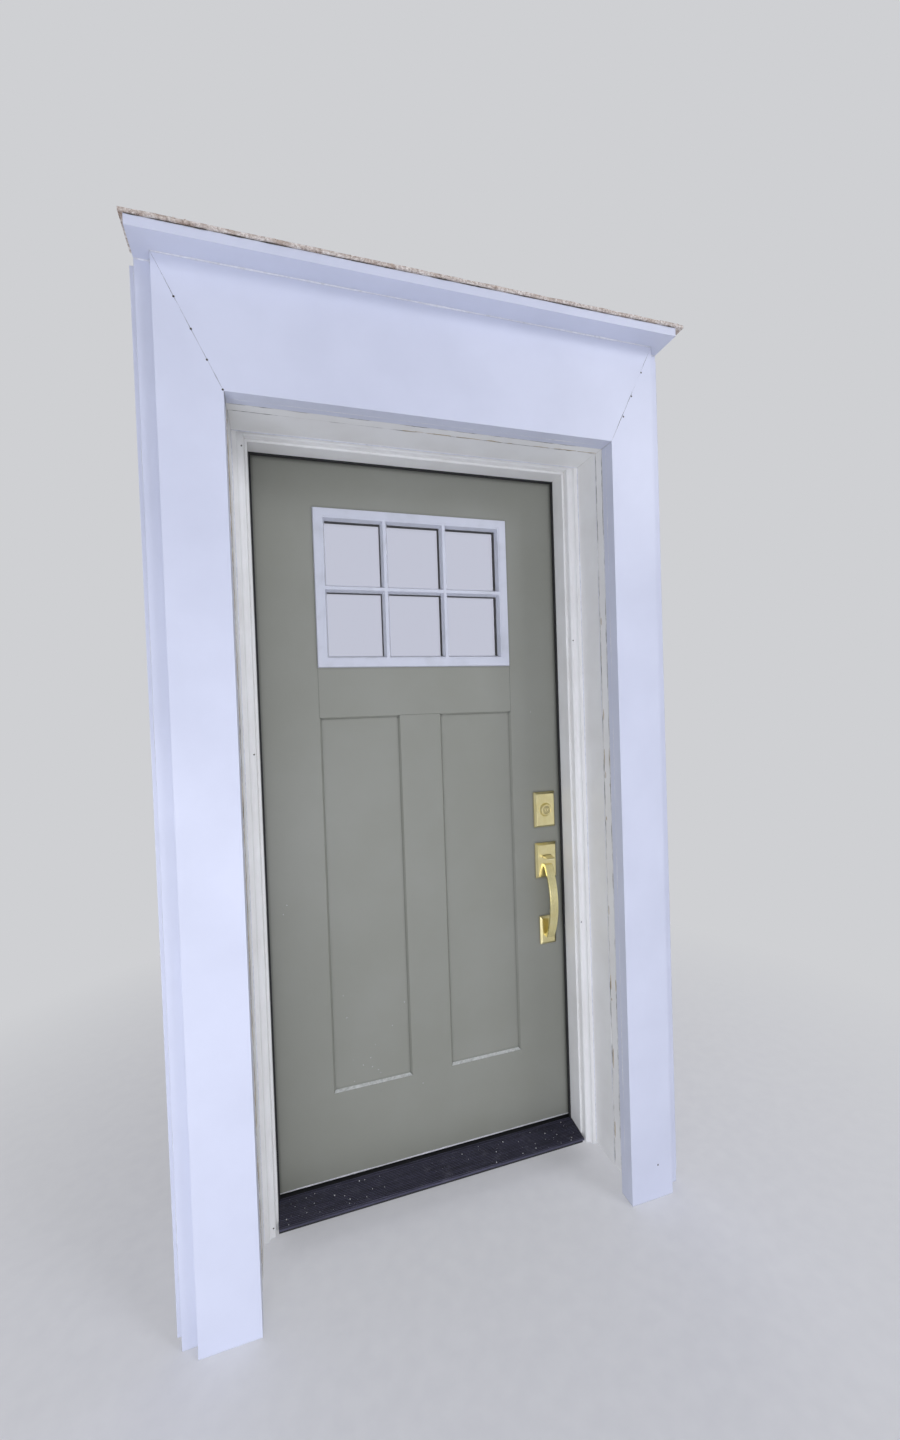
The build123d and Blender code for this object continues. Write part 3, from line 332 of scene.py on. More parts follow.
dressing = {
    "leafPaint": ["leaf_outer_skin", "leaf_inner_skin"],
    "trimUpright": ["casing_left", "casing_right", "back_board_left", "back_board_right", "scribe_strips"],
    "trimAcross": ["casing_head", "back_board_head", "cap_board"],
    "frameUpright": ["jamb_hinge_side", "jamb_latch_side", "brickmould_left", "brickmould_right",
                     "lining_left", "lining_right", "furring_boards"],
    "frameAcross": ["jamb_head", "brickmould_head", "lining_head"],
    "bareWood": ["leaf_hinge_stile", "leaf_lock_stile", "leaf_rails"],
    "foam": ["leaf_core"],
    "windowPlastic": ["window_frame_outer", "window_frame_inner"],
    "glass": ["pane_outer", "pane_inner"],
    "spacerMetal": ["pane_spacer"],
    "sealRubber": ["weatherstrip", "door_sweep"],
    "sillBlack": ["sill_deck"],
    "sillBody": ["sill_base", "sill_cap"],
    "satinBrass": ["strike_deadbolt", "strike_latch", "deadbolt_plate_outer", "deadbolt_cylinder", "key_plug",
                   "deadbolt_plate_inner", "thumbturn", "handle_plate_upper", "handle_plate_lower",
                   "knob_rose", "inner_knob"],
    "litGripBrass": ["handle_grip"],
    "litThumbBrass": ["thumb_piece"],
    "lockSteel": ["hinge_jamb_leaves", "hinge_door_leaf_top", "hinge_door_leaf_middle",
                  "hinge_door_leaf_bottom", "hinge_pins", "frame_screws", "leaf_screws", "deadbolt_case",
                  "latch_case", "deadbolt_bolt", "latch_bolt"],
    "rawBoard": ["drip_cap"],
}
for finish, names in dressing.items():
    for name in names:
        mesh = nodes[name].data
        mesh.materials.clear()
        mesh.materials.append(materials[finish])
dressed = {name for names in dressing.values() for name in names}
print("parts dressed,", len(dressed), "of", len(nodes), sorted(set(nodes) - dressed))


# Finishes of the small repairs, the dirt, and the painted shade and highlight

def makeMottled(name, colours, size, rough, depth, broken=0.5):
    # dull grainy stuff in three tones: filler, rust, grit, mortar and weathered wood, and painted highlight and
    # shadow
    material, tree, shader = newMaterial(name, colours[1], Roughness=rough, IOR=1.5)
    place = addNode(tree, "TexCoord", give="Object")
    sized = addNode(tree, "Mapping", {"Scale": perMetre(size)}, {"Vector": place})
    patch = addNode(tree, "TexNoise", {"Scale": 1.0, "Detail": 5.0, "Roughness": broken}, {"Vector": sized})
    tones = list(zip((0.3, 0.5, 0.72), colours))
    colour = addNode(tree, "ValToRGB", {"stops": tones}, {"Fac": patch})
    matt = addNode(tree, "MapRange", between(0.3, 0.7, rough - 0.08, rough + 0.05), {"Value": patch})
    finishSurface(tree, shader, colour, matt, [(patch, depth)])
    return material


small = {
    # gunned acrylic filler, tooled by finger: white with a grey film of dust
    "filler": makeMottled("acrylicFiller", ["#cdced2", "#dcdde3", "#e8e9ee"], [9.0] * 3, 0.5, 0.25),
    # a dried-out joint that has filled with dirt; under the drip cap the same finish stands as painted shadow
    "dirt": makeMottled("packedDirt", ["#23211d", "#4a463e", "#6f6a5f"], [5.0] * 3, 0.9, 0.2),
    # nail heads that have rusted through their paint
    "rust": makeMottled("rustedNail", ["#1f1a15", "#383026", "#6b5f50"], [2.4] * 3, 0.8, 0.1),
    # pine that lost its paint and greyed
    "wood": makeMottled("weatheredPine", ["#8f8068", "#b9a888", "#d6c8a8"], (2.0, 2.0, 30.0), 0.8, 0.15),
    # lime mortar and broken board: pale, sandy, pink-grey
    "mortar": makeMottled("sandyMortar", ["#8a7a70", "#c9bcae", "#ebe3d8"], [3.0] * 3, 0.92, 0.5, 0.7),
    # grit, plaster and paint crumbs
    "grit": makeMottled("paleGrit", ["#a2a2a6", "#cfcfd2", "#efefef"], [1.5] * 3, 0.85, 0.1),
    # a painted highlight: a pale tone on the panels' lower slopes, lighter than the leaf as if lit from above
    "dust": makeMottled("paintedLedgeHighlight", ["#a5a8a0", "#bfc1bb", "#d0d2cd"], [7.0] * 3, 0.7, 0.05),
    # oxide that stays in the turned grooves of the cylinder
    "tarnish": makeMottled("tarnishedBrass", ["#4c4019", "#5e5024", "#746432"], [12.0] * 3, 0.7, 0.05),
    # painted shadow: a near-black fill in the driver slots of the screws
    "slot": makeMottled("slotShadow", ["#141414", "#1d1d1d", "#2a2a2a"], [0.8] * 3, 0.6, 0.05),
}


# Small pieces: every one is a closed mesh that rides on the part it is stuck to

def newPiece(name, work, material, body, smooth=True):
    # turns the worked mesh into an object that rides on a body
    bmesh.ops.recalc_face_normals(work, faces=work.faces)
    for face in work.faces:
        face.smooth = smooth
    mesh = bpy.data.meshes.new(name)
    work.to_mesh(mesh)
    work.free()
    mesh.materials.append(material)
    piece = bpy.data.objects.new(name, mesh)
    bpy.context.scene.collection.objects.link(piece)
    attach(piece, body)


def joinRings(work, rings, closed=False):
    # skins a row of equal rings; both ends are capped, or in a closed row the last ring meets the first
    following = rings[1:] + (rings[:1] if closed else [])
    for near, far in zip(rings, following):
        for k in range(len(near)):
            n = (k + 1) % len(near)
            work.faces.new((near[k], near[n], far[n], far[k]))
    if not closed:
        work.faces.new(rings[0])
        work.faces.new(list(reversed(rings[-1])))


def addBead(work, start, end, across, out, look, seed):
    # a line of filler or dirt along a joint, whose width and height wander as a hand-run one does
    start, end = Vector(start) * mm, Vector(end) * mm
    across, out = Vector(across).normalized(), Vector(out).normalized()
    run = end - start
    steps = max(4, round(run.length / (look["step"] * mm)))
    rings = []
    for i in range(steps + 1):
        far = i / steps * run.length / mm
        slow = noise.noise(Vector((seed, far / look["beat"], 0.3)))
        fast = noise.noise(Vector((seed + 40.5, far / look["beat"] * 4.3, 0.7)))
        size = max(0.08, look["body"] + look["ragged"] * (slow * 1.5 + fast * 0.8))
        size *= min(1.0, 0.4 + min(i, steps - i) * 0.3)  # the ends taper
        drift = across * (slow * look["drift"] * mm)
        spot = start + run * (i / steps) + drift
        ring = []
        for k in range(8):
            turn = math.tau * k / 8
            ring.append(work.verts.new(spot + across * (math.cos(turn) * look["width"] / 2 * size * mm)
                                       + out * (math.sin(turn) * look["height"] * size * mm)))
        rings.append(ring)
    joinRings(work, rings)


def addDome(work, spot, out, radius, rise, sides=12):
    # a low closed dome on a face: a nail, a plug or a drop of paint
    spot, out = Vector(spot) * mm, Vector(out).normalized()
    side = out.orthogonal().normalized()
    other = out.cross(side)
    profile = ((1.0, -0.4), (1.0, 0.1), (0.86, 0.6), (0.5, 0.92), (0.15, 1.0))  # shares of radius and rise
    rings = []
    for share, level in profile:
        rings.append([work.verts.new(spot + (side * math.cos(a) + other * math.sin(a)) * radius * share * mm
                                     + out * rise * level * mm)
                      for a in (math.tau * k / sides for k in range(sides))])
    joinRings(work, rings)


def addFlake(work, spot, along, across, out, size, dice):
    # a ragged sliver that lies on a face
    spot = Vector(spot) * mm
    along, across, out = Vector(along), Vector(across), Vector(out)
    long, wide, thick = size
    points = 11
    rim = []
    for k in range(points):
        turn = math.tau * k / points
        reach = dice.uniform(0.6, 1.1)
        rim.append(spot + (along * math.cos(turn) * long / 2 + across * math.sin(turn) * wide / 2) * reach * mm)
    low = [work.verts.new(p - out * thick * 0.4 * mm) for p in rim]
    high = [work.verts.new(p + out * thick * 0.4 * mm) for p in rim]
    middle = sum(rim, Vector()) / len(rim)
    top = [work.verts.new(middle + (p - middle) * 0.7 + out * thick * mm) for p in rim]
    joinRings(work, [low, high, top])


def addCrumb(work, spot, size, squash, dice):
    # a lump of grit or mortar: a small ball pushed about by noise
    made = bmesh.ops.create_icosphere(work, subdivisions=2, radius=size * mm)
    shift = Vector((dice.uniform(0, 90), dice.uniform(0, 90), dice.uniform(0, 90)))
    for vert in made["verts"]:
        push = 1 + 0.45 * noise.noise(vert.co / (size * mm) * 1.4 + shift)
        vert.co = Vector((vert.co.x * push, vert.co.y * push, vert.co.z * push * squash)) + Vector(spot) * mm


def addRing(work, centre, radius, tube):
    # a thin ring on a face that looks along the depth of the door
    turns, sides = 48, 8
    loops = []
    for i in range(turns):
        turn = math.tau * i / turns
        out = Vector((math.cos(turn), 0, math.sin(turn)))
        loops.append([work.verts.new((Vector(centre) + out * (radius + tube * math.cos(a))
                                      + Vector((0, tube * math.sin(a), 0))) * mm)
                      for a in (math.tau * k / sides for k in range(sides))])
    joinRings(work, loops, closed=True)


# Lines of the frame, the leaf and its fittings in millimetres, as the CAD has them
edge = {"casingInner": 482.5, "casingOuter": 615.0, "back": 651.0, "furring": 482.0, "lining": 480.5,
        "jamb": 457.0, "leaf": 454.0}
head = {"casing": 2038.6, "furring": 2039.1, "lining": 2040.1, "top": 2308.0, "cap": 2330.0, "drip": 2337.3}
face = {"cap": -330.75, "casing": -275.75, "back": -245.75, "wall": -227.75, "lining": -195.75,
        "mould": -101.75, "mouldFlat": -90.0, "leaf": 0.0, "panel": 8.0, "windowInner": 50.5}
sill = {"top": 30.0, "topAt": -12.7, "slope": 0.125, "half": 438.0}
lock = {"x": 388.0, "bolt": 1015.0, "latch": 875.3, "cylinder": -18.8}
hinge = {"heights": (262.0, 1036.3, 1810.6), "rows": (33.65, 22.8),
         "screws": ((0, 38.1), (1, 12.7), (0, -12.7), (1, -38.1))}  # each screw's row and its height off centre
window = {"half": 286.0, "bottom": 1463.0, "top": 1903.0}


def addCasingFiller():
    # filler where the casing meets the back board, where that meets the scribe, and under the cap
    look = {"width": 5.5, "height": 2.4, "step": 7.0, "beat": 140.0, "body": 0.85, "ragged": 0.4, "drift": 0.4,
            "casing": (-46, 2306), "back": (-22, 2296), "behind": 8, "capEnd": 613}
    work = bmesh.new()
    top = head["top"]
    for s in (-1, 1):
        x, y = s * edge["casingOuter"], face["back"]
        foot, stop = look["casing"]
        addBead(work, (x, y, foot), (x, y, stop), (s, 1, 0), (s, -1, 0), look, 3.0 + s)
        outer, deep = s * edge["back"], face["wall"] - look["behind"]
        foot, stop = look["back"]
        addBead(work, (outer, deep, foot), (outer, deep, stop), (s, 1, 0), (s, -1, 0), look, 9.0 + s)
        addBead(work, (x, y, top), (outer, y, top), (0, 1, -1), (0, -1, -1), look, 12.0 + s)
    x, y = look["capEnd"], face["casing"]
    addBead(work, (-x, y, top), (x, y, top), (0, 1, -1), (0, -1, -1), look, 21.0)
    newPiece("casing_filler", work, small["filler"], "frame")


def addRevealFiller():
    # paint-clogged joints down the reveal, one line for each change of board
    look = {"width": 2.8, "height": 0.5, "step": 6.0, "beat": 110.0, "body": 0.6, "ragged": 0.6, "drift": 0.6,
            "foot": 12}
    work = bmesh.new()
    joints = ((face["back"], edge["casingInner"], head["casing"]),
              (face["wall"], edge["furring"], head["furring"]),
              (face["lining"], edge["lining"], head["lining"]))
    for row, (y, x, z) in enumerate(joints):
        for s in (-1, 1):
            addBead(work, (s * x, y, look["foot"]), (s * x, y, z - 1), (0, 1, 0), (-s, 0, 0), look,
                    5.0 * row + s)
        addBead(work, (-x, y, z), (x, y, z), (0, 1, 0), (0, 0, -1), look, 31.0 + row)
    newPiece("reveal_filler", work, small["filler"], "frame")


def addMouldFiller():
    # filler between the reveal's lining and the brickmould
    look = {"width": 4.6, "height": 2.0, "step": 7.0, "beat": 160.0, "body": 0.85, "ragged": 0.3, "drift": 0.3,
            "foot": 9}
    work = bmesh.new()
    x, y, z = edge["lining"], face["mould"], head["lining"]
    for s in (-1, 1):
        addBead(work, (s * x, y, look["foot"]), (s * x, y, z - 1), (s, -1, 0), (-s, -1, 0), look, 51.0 + s)
    addBead(work, (-x, y, z), (x, y, z), (0, -1, 1), (0, -1, -1), look, 57.0)
    newPiece("mould_filler", work, small["filler"], "frame")


def addJointDirt():
    # open mitres on the casing, the dried furring joints, and a dark line under the broken cap that is painted
    # shadow of the gap beneath its overhang
    look = {"width": 0.8, "height": 0.12, "step": 5.0, "beat": 45.0, "body": 0.6, "ragged": 0.8, "drift": 0.5}
    wide = dict(look, width=1.4, height=0.4, body=0.4, ragged=1.0, drift=1.0)
    seam = dict(look, width=3.0, height=1.3, body=0.8, ragged=1.0, drift=0.4)
    joints = (face["lining"] - 2.2, face["wall"] + 1.8)
    foot, across, capEnd = 20, 478, 650
    work = bmesh.new()
    for s in (-1, 1):
        low = Vector((s * edge["casingInner"], face["casing"], head["casing"]))
        high = Vector((s * edge["casingOuter"], face["casing"], head["top"]))
        along = (high - low).normalized()
        addBead(work, low, high, along.cross(Vector((0, 1, 0))), (0, -1, 0), look, 61.0 + s)
        x = s * edge["furring"]
        for row, y in enumerate(joints):
            addBead(work, (x, y, foot), (x, y, head["furring"] - 1), (0, 1, 0), (-s, 0, 0), wide,
                    71.0 + row * 3 + s)
    for row, y in enumerate(joints):
        z = head["furring"]
        addBead(work, (-across, y, z), (across, y, z), (0, 1, 0), (0, 0, -1), wide, 81.0 + row)
    # painted shadow under the drip cap's overhanging front, in the packed dirt finish
    z = head["cap"] + 0.3
    addBead(work, (-capEnd, face["cap"], z), (capEnd, face["cap"], z), (0, 1, 1), (0, -1, 0), seam, 91.0)
    newPiece("joint_dirt", work, small["dirt"], "frame")


def addNails():
    # places on the casing and brickmould where a nail has rusted through
    look = {"casingRadius": 2.4, "mouldRadius": 2.0, "rise": 0.6,
            "casing": ((-573, 2222), (-542, 2160), (-513, 2100), (-484, 2041), (581, 2234), (548, 2166),
                       (521, 2108), (568, 46)),
            "mould": ((-457, 2009), (-457, 1240), (-457, 26), (457, 1530), (457, 680))}
    work = bmesh.new()
    for x, z in look["casing"]:
        addDome(work, (x, face["casing"], z), (0, -1, 0), look["casingRadius"], look["rise"])
    for x, z in look["mould"]:
        addDome(work, (x, face["mouldFlat"], z), (0, -1, 0), look["mouldRadius"], look["rise"])
    newPiece("rusted_nails", work, small["rust"], "frame")


def addBareFlakes():
    # slivers where the paint has come off the furring boards, most on the left side and over the head
    look = {"left": 110, "right": 14, "head": 26, "thick": 0.5, "heights": (30, 2020), "long": (8, 70),
            "wide": (1.6, 5.0), "front": 0.6, "frontDepth": (2.5, 9.5), "backDepth": (2, 12),
            "headSpan": (-90, 470), "headDepth": (2.5, 6.0), "headLong": (8, 60), "headWide": (1.6, 4.0)}
    dice = random.Random(4)
    work = bmesh.new()
    for s, count in ((-1, look["left"]), (1, look["right"])):
        for _ in range(count):
            if dice.random() < look["front"]:
                y = face["lining"] - dice.uniform(*look["frontDepth"])
            else:
                y = face["wall"] + dice.uniform(*look["backDepth"])
            spot = (s * edge["furring"], y, dice.uniform(*look["heights"]))
            size = (dice.uniform(*look["long"]), dice.uniform(*look["wide"]), look["thick"])
            addFlake(work, spot, (0, 0, 1), (0, 1, 0), (-s, 0, 0), size, dice)
    for _ in range(look["head"]):
        spot = (dice.uniform(*look["headSpan"]), face["lining"] - dice.uniform(*look["headDepth"]),
                head["furring"])
        size = (dice.uniform(*look["headLong"]), dice.uniform(*look["headWide"]), look["thick"])
        addFlake(work, spot, (1, 0, 0), (0, 1, 0), (0, 0, -1), size, dice)
    newPiece("bare_wood_flakes", work, small["wood"], "frame", smooth=False)


def addCapCrumbs():
    # mortar and broken board along the front of the drip cap
    look = {"count": 240, "least": 1.2, "most": 3.6, "squash": 0.6, "span": (-640, 655),
            "proud": (1.5, 3.5), "below": (0.0, 6.0)}
    dice = random.Random(12)
    work = bmesh.new()
    for _ in range(look["count"]):
        size = dice.uniform(look["least"], look["most"])
        spot = (dice.uniform(*look["span"]), face["cap"] - dice.uniform(*look["proud"]),
                head["drip"] - dice.uniform(*look["below"]))
        addCrumb(work, spot, size, look["squash"], dice)
    newPiece("cap_crumbs", work, small["mortar"], "frame", smooth=False)


def addSillGrit():
    # crumbs that collect on the tread, thicker at its two ends
    look = {"count": 110, "least": 0.35, "most": 1.9, "squash": 0.6, "depths": (-88, -18),
            "atEnds": 0.6, "end": 432, "scatter": 150, "between": (-430, 430)}
    dice = random.Random(7)
    work = bmesh.new()
    for _ in range(look["count"]):
        y = dice.uniform(*look["depths"])
        if dice.random() < look["atEnds"]:
            x = dice.choice((-1, 1)) * (look["end"] - abs(dice.gauss(0, look["scatter"])))
        else:
            x = dice.uniform(*look["between"])
        size = look["least"] + (look["most"] - look["least"]) * dice.random() ** 3
        tread = sill["top"] + sill["slope"] * (y - sill["topAt"])
        addCrumb(work, (max(-sill["half"], min(sill["half"], x)), y, tread + size * 0.2), size,
                 look["squash"], dice)
    newPiece("sill_grit", work, small["grit"], "frame", smooth=False)


def addLeafMarks():
    # dried drops on the lower left panel and a scuffed lower edge
    look = {"width": 4.2, "height": 0.6, "step": 6.0, "beat": 90.0, "body": 0.85, "ragged": 0.4, "drift": 0.3,
            "drops": 12, "dropSpan": (-275, -75), "dropHeights": (290, 560), "dropRadius": (0.6, 1.3),
            "splashes": ((-392, 820), (-402, 796), (352, 1320), (-30, 244)), "splashRadius": 1.1,
            "rise": 0.3, "edgeEnd": 450, "edgeHeight": 35.5}
    dice = random.Random(21)
    work = bmesh.new()
    for _ in range(look["drops"]):
        spot = (dice.uniform(*look["dropSpan"]), face["panel"], dice.uniform(*look["dropHeights"]))
        addDome(work, spot, (0, -1, 0), dice.uniform(*look["dropRadius"]), look["rise"])
    for x, z in look["splashes"]:
        addDome(work, (x, face["leaf"], z), (0, -1, 0), look["splashRadius"], look["rise"])
    x, z = look["edgeEnd"], look["edgeHeight"]
    addBead(work, (-x, face["leaf"], z), (x, face["leaf"], z), (0, 0, 1), (0, -1, 0), look, 97.0)
    newPiece("leaf_marks", work, small["grit"], "leaf")


def addPanelLedgeHighlight():
    # a painted highlight: a pale skin over the lower, up-facing slope of each panel, as if lit from above
    look = {"x": (59.75, 286.0), "z": 274.0, "slope": 6.0, "thick": 0.25, "overlap": 0.4}
    work = bmesh.new()
    inner, outer = look["x"]
    for s in (-1, 1):
        near, far = sorted((s * inner, s * outer))
        rings = []
        for t in (0.06, 0.35, 0.65, 0.94):
            inset = look["slope"] * t
            lap = inset + look["overlap"]
            y, z = face["panel"] * t, look["z"] + inset
            lift = Vector((0, -0.6, 0.8)) * look["thick"]
            rings.append([work.verts.new((Vector(spot) + lift * up) * mm)
                          for spot, up in (((near + inset, y, z), -1), ((far - inset, y, z), -1),
                                           ((far - lap, y, z), 1), ((near + lap, y, z), 1))])
        joinRings(work, rings)
    newPiece("panel_ledge_highlight", work, small["dust"], "leaf", smooth=False)


def addPlugs():
    # the caps over the inner window frame's screws
    look = {"radius": 4.6, "rise": 1.1, "inset": 11.5, "sides": 20}
    side = window["half"] - look["inset"]
    low, high = window["bottom"] + look["inset"], window["top"] - look["inset"]
    spots = [(x, z) for x in (-side, -side / 3, side / 3, side) for z in (low, high)]
    spots += [(x, (low + high) / 2) for x in (-side, side)]
    work = bmesh.new()
    for x, z in spots:
        addDome(work, (x, face["windowInner"], z), (0, 1, 0), look["radius"], look["rise"], look["sides"])
    newPiece("window_screw_caps", work, materials["windowPlastic"], "leaf")


def addSlots():
    # the driver slots of the hinge, faceplate and strike screws, near-black as painted shadow
    look = {"long": 4.4, "wide": 0.9, "proud": 0.06, "deep": -0.3, "turn": 0.6, "row": 22.25,
            "faceplate": 21.88, "strike": 26.6}
    hingeSpots = [(hinge["rows"][k], z + dz) for z in hinge["heights"] for k, dz in hinge["screws"]]
    locks = [(z, s) for z in (lock["bolt"], lock["latch"]) for s in (-1, 1)]
    leafSpots = [(-edge["leaf"], y, z, -1) for y, z in hingeSpots]
    leafSpots += [(edge["leaf"], look["row"], z + s * look["faceplate"], 1) for z, s in locks]
    frameSpots = [(-edge["jamb"], y, z, 1) for y, z in hingeSpots]
    frameSpots += [(edge["jamb"], look["row"], z + s * look["strike"], -1) for z, s in locks]
    corners = ((-1, -1), (1, -1), (1, 1), (-1, 1))
    for name, body, spots in (("leaf_screw_slots", "leaf", leafSpots),
                              ("frame_screw_slots", "frame", frameSpots)):
        work = bmesh.new()
        for x, y, z, way in spots:
            for turn in (look["turn"], look["turn"] + math.pi / 2):
                along = Vector((0, math.cos(turn), math.sin(turn)))
                across = Vector((0, -math.sin(turn), math.cos(turn)))
                rings = []
                for level in (look["deep"], look["proud"]):
                    centre = Vector((x + way * level, y, z))
                    rings.append([work.verts.new((centre + along * a * look["long"] / 2
                                                  + across * b * look["wide"] / 2) * mm)
                                  for a, b in corners])
                joinRings(work, rings)
        newPiece(name, work, small["slot"], body, smooth=False)


def addLockDetail():
    # turned rings on the cylinder's face, the tarnish between them and the lip above the thumb piece
    look = {"rings": (12.6, 8.8), "tube": 0.55, "tarnish": (10.7, 7.25), "film": 0.6,
            "lipHalf": 14.8, "lipHeights": (873.6, 877.6), "lipDepths": (-9.6, -11.6, -12.4), "ease": 0.8}
    centre = (lock["x"], lock["cylinder"], lock["bolt"])
    work = bmesh.new()
    for radius in look["tarnish"]:
        addRing(work, centre, radius, look["film"])
    newPiece("lock_tarnish", work, small["tarnish"], "leaf")
    work = bmesh.new()
    for radius in look["rings"]:
        addRing(work, centre, radius, look["tube"])
    low, high = look["lipHeights"]
    rings = []
    for y, inset in zip(look["lipDepths"], (0.0, 0.0, look["ease"])):
        half = look["lipHalf"] - inset
        rings.append([work.verts.new(Vector((lock["x"] + x, y, z)) * mm)
                      for x, z in ((-half, low + inset), (half, low + inset), (half, high - inset),
                                   (-half, high - inset))])
    joinRings(work, rings)
    newPiece("lock_rings", work, materials["satinBrass"], "leaf", smooth=False)


def addThumbHeel():
    # the raised heel on top of the thumb piece, clear of the plate when the piece tips up
    look = {"half": 13.4, "ease": 0.6, "softest": 0.3,
            "top": ((-14.2, 872.9), (-19.0, 872.6), (-26.0, 871.4), (-33.0, 869.7)),
            "under": ((-33.0, 868.4), (-14.2, 869.8))}
    outline = look["top"] + look["under"]
    middleY, middleZ = (sum(point[k] for point in outline) / len(outline) for k in (0, 1))
    half, ease = look["half"], look["ease"]
    work = bmesh.new()
    rings = []
    for x, inset in ((-half, ease), (-half + ease, 0.0), (half - ease, 0.0), (half, ease)):
        rings.append([work.verts.new(Vector((lock["x"] + x, y + math.copysign(inset, middleY - y),
                                             z + math.copysign(min(inset, look["softest"]), middleZ - z))) * mm)
                      for y, z in outline])
    joinRings(work, rings)
    newPiece("thumb_heel", work, materials["litThumbBrass"], "thumb_piece", smooth=False)


addCasingFiller()
addRevealFiller()
addMouldFiller()
addJointDirt()
addNails()
addBareFlakes()
addCapCrumbs()
addSillGrit()
addLeafMarks()
addPanelLedgeHighlight()
addPlugs()
addSlots()
addLockDetail()
addThumbHeel()
print("small pieces added")


# Studio

backdrop = "#cfd0d3"


def seenDirectly(tree):
    # 1 for camera, mirror and glass rays, 0 for the light that falls on things
    rays = addNode(tree, "LightPath").node.outputs
    direct = addNode(tree, "Math", {"operation": "MAXIMUM"},
                     {0: rays["Is Camera Ray"], 1: rays["Is Glossy Ray"]})
    return addNode(tree, "Math", {"operation": "MAXIMUM"}, {0: direct, 1: rays["Is Transmission Ray"]})


def makeStage():
    # a wide pale floor that keeps the object's shadow near by and fades into the backdrop further out
    look = {"colour": "#f2f2f4", "grain": [(0.3, "#efeff2"), (0.7, "#f5f5f7")], "low": -48.2 * mm,
            "radius": 30.0, "fadeFrom": 0.8, "fadeTo": 2.3, "near": 0.35}
    material, tree, shader = newMaterial("paleFloor", look["colour"], Roughness=0.9)
    place = addNode(tree, "TexCoord", give="Object")
    grain = addNode(tree, "TexNoise", {"Scale": perMetre(40.0), "Detail": 4.0}, {"Vector": place})
    colour = addNode(tree, "ValToRGB", {"stops": look["grain"]}, {"Fac": grain})
    finishSurface(tree, shader, colour)
    reach = addNode(tree, "VectorMath", {"operation": "LENGTH"}, {0: place}, "Value")
    far = addNode(tree, "MapRange", between(look["fadeFrom"], look["fadeTo"], look["near"], 1.0),
                  {"Value": reach})
    direct = addNode(tree, "Math", {"operation": "MULTIPLY"}, {0: far, 1: seenDirectly(tree)})
    plain = addNode(tree, "Emission", {"Color": backdrop, "Strength": 1.0})
    mix = addNode(tree, "MixShader", None, {0: direct, 1: shader.outputs[0], 2: plain})
    tree.links.new(mix, tree.nodes["Material Output"].inputs["Surface"])
    work = bmesh.new()
    bmesh.ops.create_circle(work, cap_ends=True, segments=64, radius=look["radius"])
    bmesh.ops.translate(work, vec=(0, 0, look["low"]), verts=work.verts)
    floorMesh = bpy.data.meshes.new("floor")
    work.to_mesh(floorMesh)
    work.free()
    floorMesh.materials.append(material)
    floor = bpy.data.objects.new("floor", floorMesh)
    bpy.context.scene.collection.objects.link(floor)


def makeWorld():
    # plain backdrop to the eye; the light it gives is even at eye level and dimmer from straight above
    look = {"fill": "#f3f4ff", "level": 0.84, "above": 0.22}
    world = bpy.data.worlds.new("softStudio")
    bpy.context.scene.world = world
    world.use_nodes = True
    tree = world.node_tree
    tree.nodes.remove(tree.nodes["Background"])
    place = addNode(tree, "TexCoord", give="Generated")
    height = addNode(tree, "SeparateXYZ", None, {0: place}, "Z")
    level = addNode(tree, "MapRange", between(0.0, 0.8, look["level"], look["above"]), {"Value": height})
    seen = addNode(tree, "Background", {"Color": backdrop, "Strength": 1.0})
    fill = addNode(tree, "Background", {"Color": look["fill"]}, {"Strength": level})
    mix = addNode(tree, "MixShader", None, {0: seenDirectly(tree), 1: fill, 2: seen})
    tree.links.new(mix, tree.nodes["World Output"].inputs["Surface"])


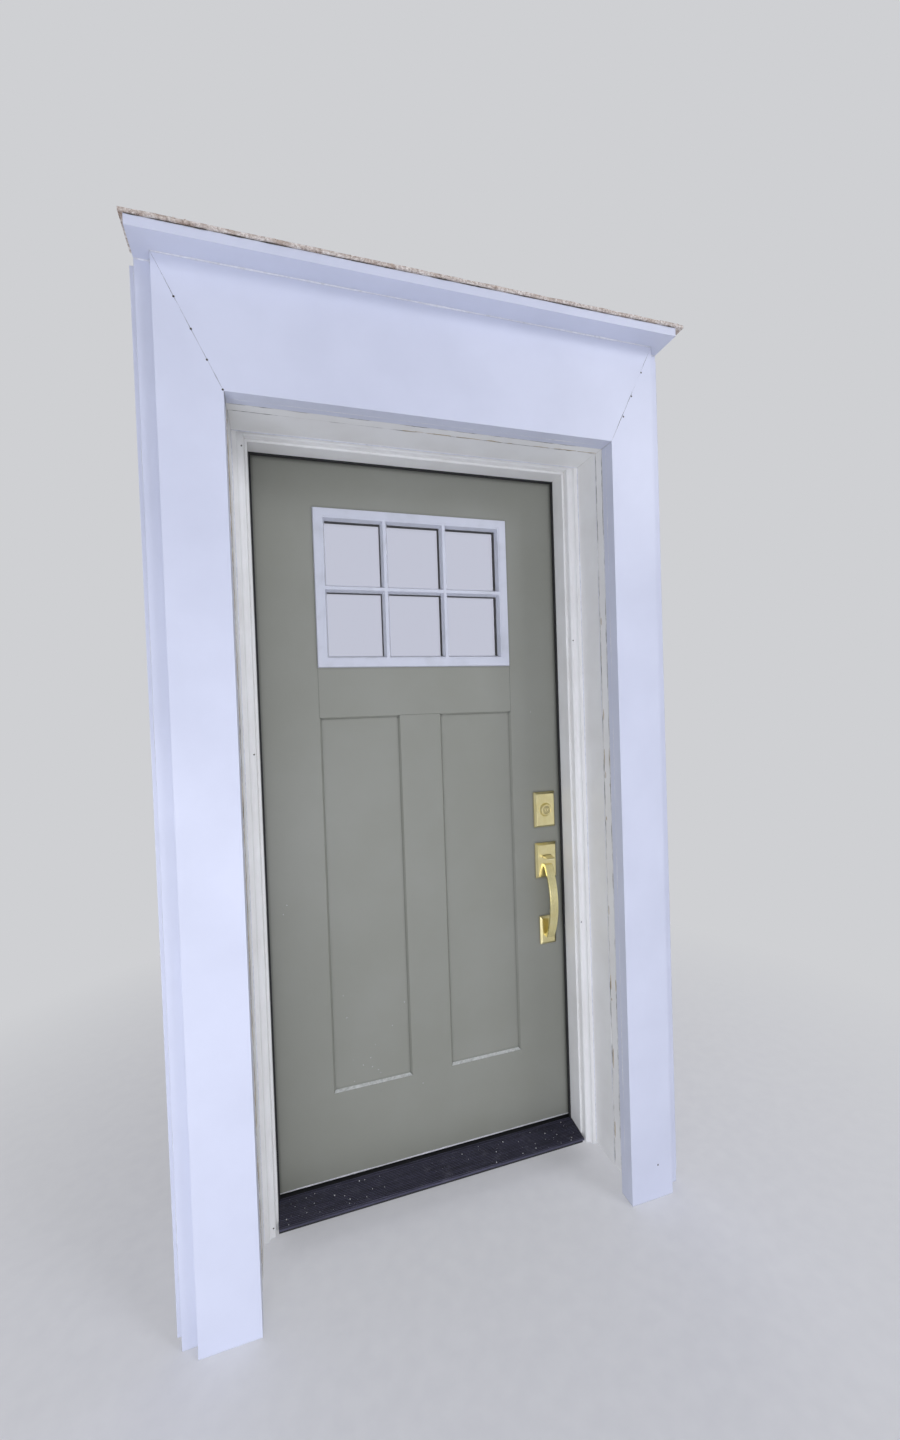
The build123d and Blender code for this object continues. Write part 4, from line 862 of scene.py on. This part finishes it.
def addSoftbox(name, look):
    # a rectangular lamp that neither the camera nor the panes show
    light = bpy.data.lights.new(name, "AREA")
    light.shape = "RECTANGLE"
    light.size, light.size_y = look["size"]
    light.energy = look["watts"]
    light.color = linear(look["colour"])[:3]
    lamp = bpy.data.objects.new(name, light)
    lamp.location = look["place"]
    lamp.rotation_euler = (Vector(look["aim"]) - Vector(look["place"])).to_track_quat("-Z", "Y").to_euler()
    lamp.visible_camera = False
    lamp.visible_transmission = False
    bpy.context.scene.collection.objects.link(lamp)


def makeCamera():
    # the photograph's viewpoint: close, a little left of the door, a very short lens, slightly rolled
    view = {"place": (-0.4079, -1.5741, 1.3393), "yaw": 17.563, "pitch": -1.185, "roll": -1.938, "lens": 13.953}
    yaw, pitch, roll = (math.radians(view[k]) for k in ("yaw", "pitch", "roll"))
    forward = Vector((math.sin(yaw) * math.cos(pitch), math.cos(yaw) * math.cos(pitch), math.sin(pitch)))
    right = Vector((math.cos(yaw), -math.sin(yaw), 0))
    up = right.cross(forward)
    rolledRight = right * math.cos(roll) + up * math.sin(roll)
    rolledUp = up * math.cos(roll) - right * math.sin(roll)
    data = bpy.data.cameras.new("photoCamera")
    data.sensor_width = 36.0
    data.lens = view["lens"]
    data.clip_start = 0.05
    camera = bpy.data.objects.new("photoCamera", data)
    camera.matrix_world = Matrix.Translation(view["place"]) @ Matrix(
        (rolledRight, rolledUp, -forward)).transposed().to_4x4()
    bpy.context.scene.collection.objects.link(camera)
    bpy.context.scene.camera = camera


softboxes = {
    # high and wide from the right, low and broad along the floor, and one behind for the inner side
    "keySoftbox": {"place": (3.3, -4.1, 3.8), "aim": (0.0, 0.0, 0.8), "size": (1.8, 1.6), "watts": 84.0,
                   "colour": "#f3f5ff"},
    "lowSoftbox": {"place": (-1.3, -2.7, 0.4), "aim": (0.0, 0.0, 0.6), "size": (3.4, 1.0), "watts": 48.0,
                   "colour": "#eff2ff"},
    "rearSoftbox": {"place": (1.2, 3.4, 1.9), "aim": (0.0, 0.0, 1.0), "size": (2.4, 2.4), "watts": 30.0,
                    "colour": "#ffffff"},
}
makeStage()
makeWorld()
for name, look in softboxes.items():
    addSoftbox(name, look)
makeCamera()
bpy.context.scene.view_settings.view_transform = "Standard"
print("studio ready")
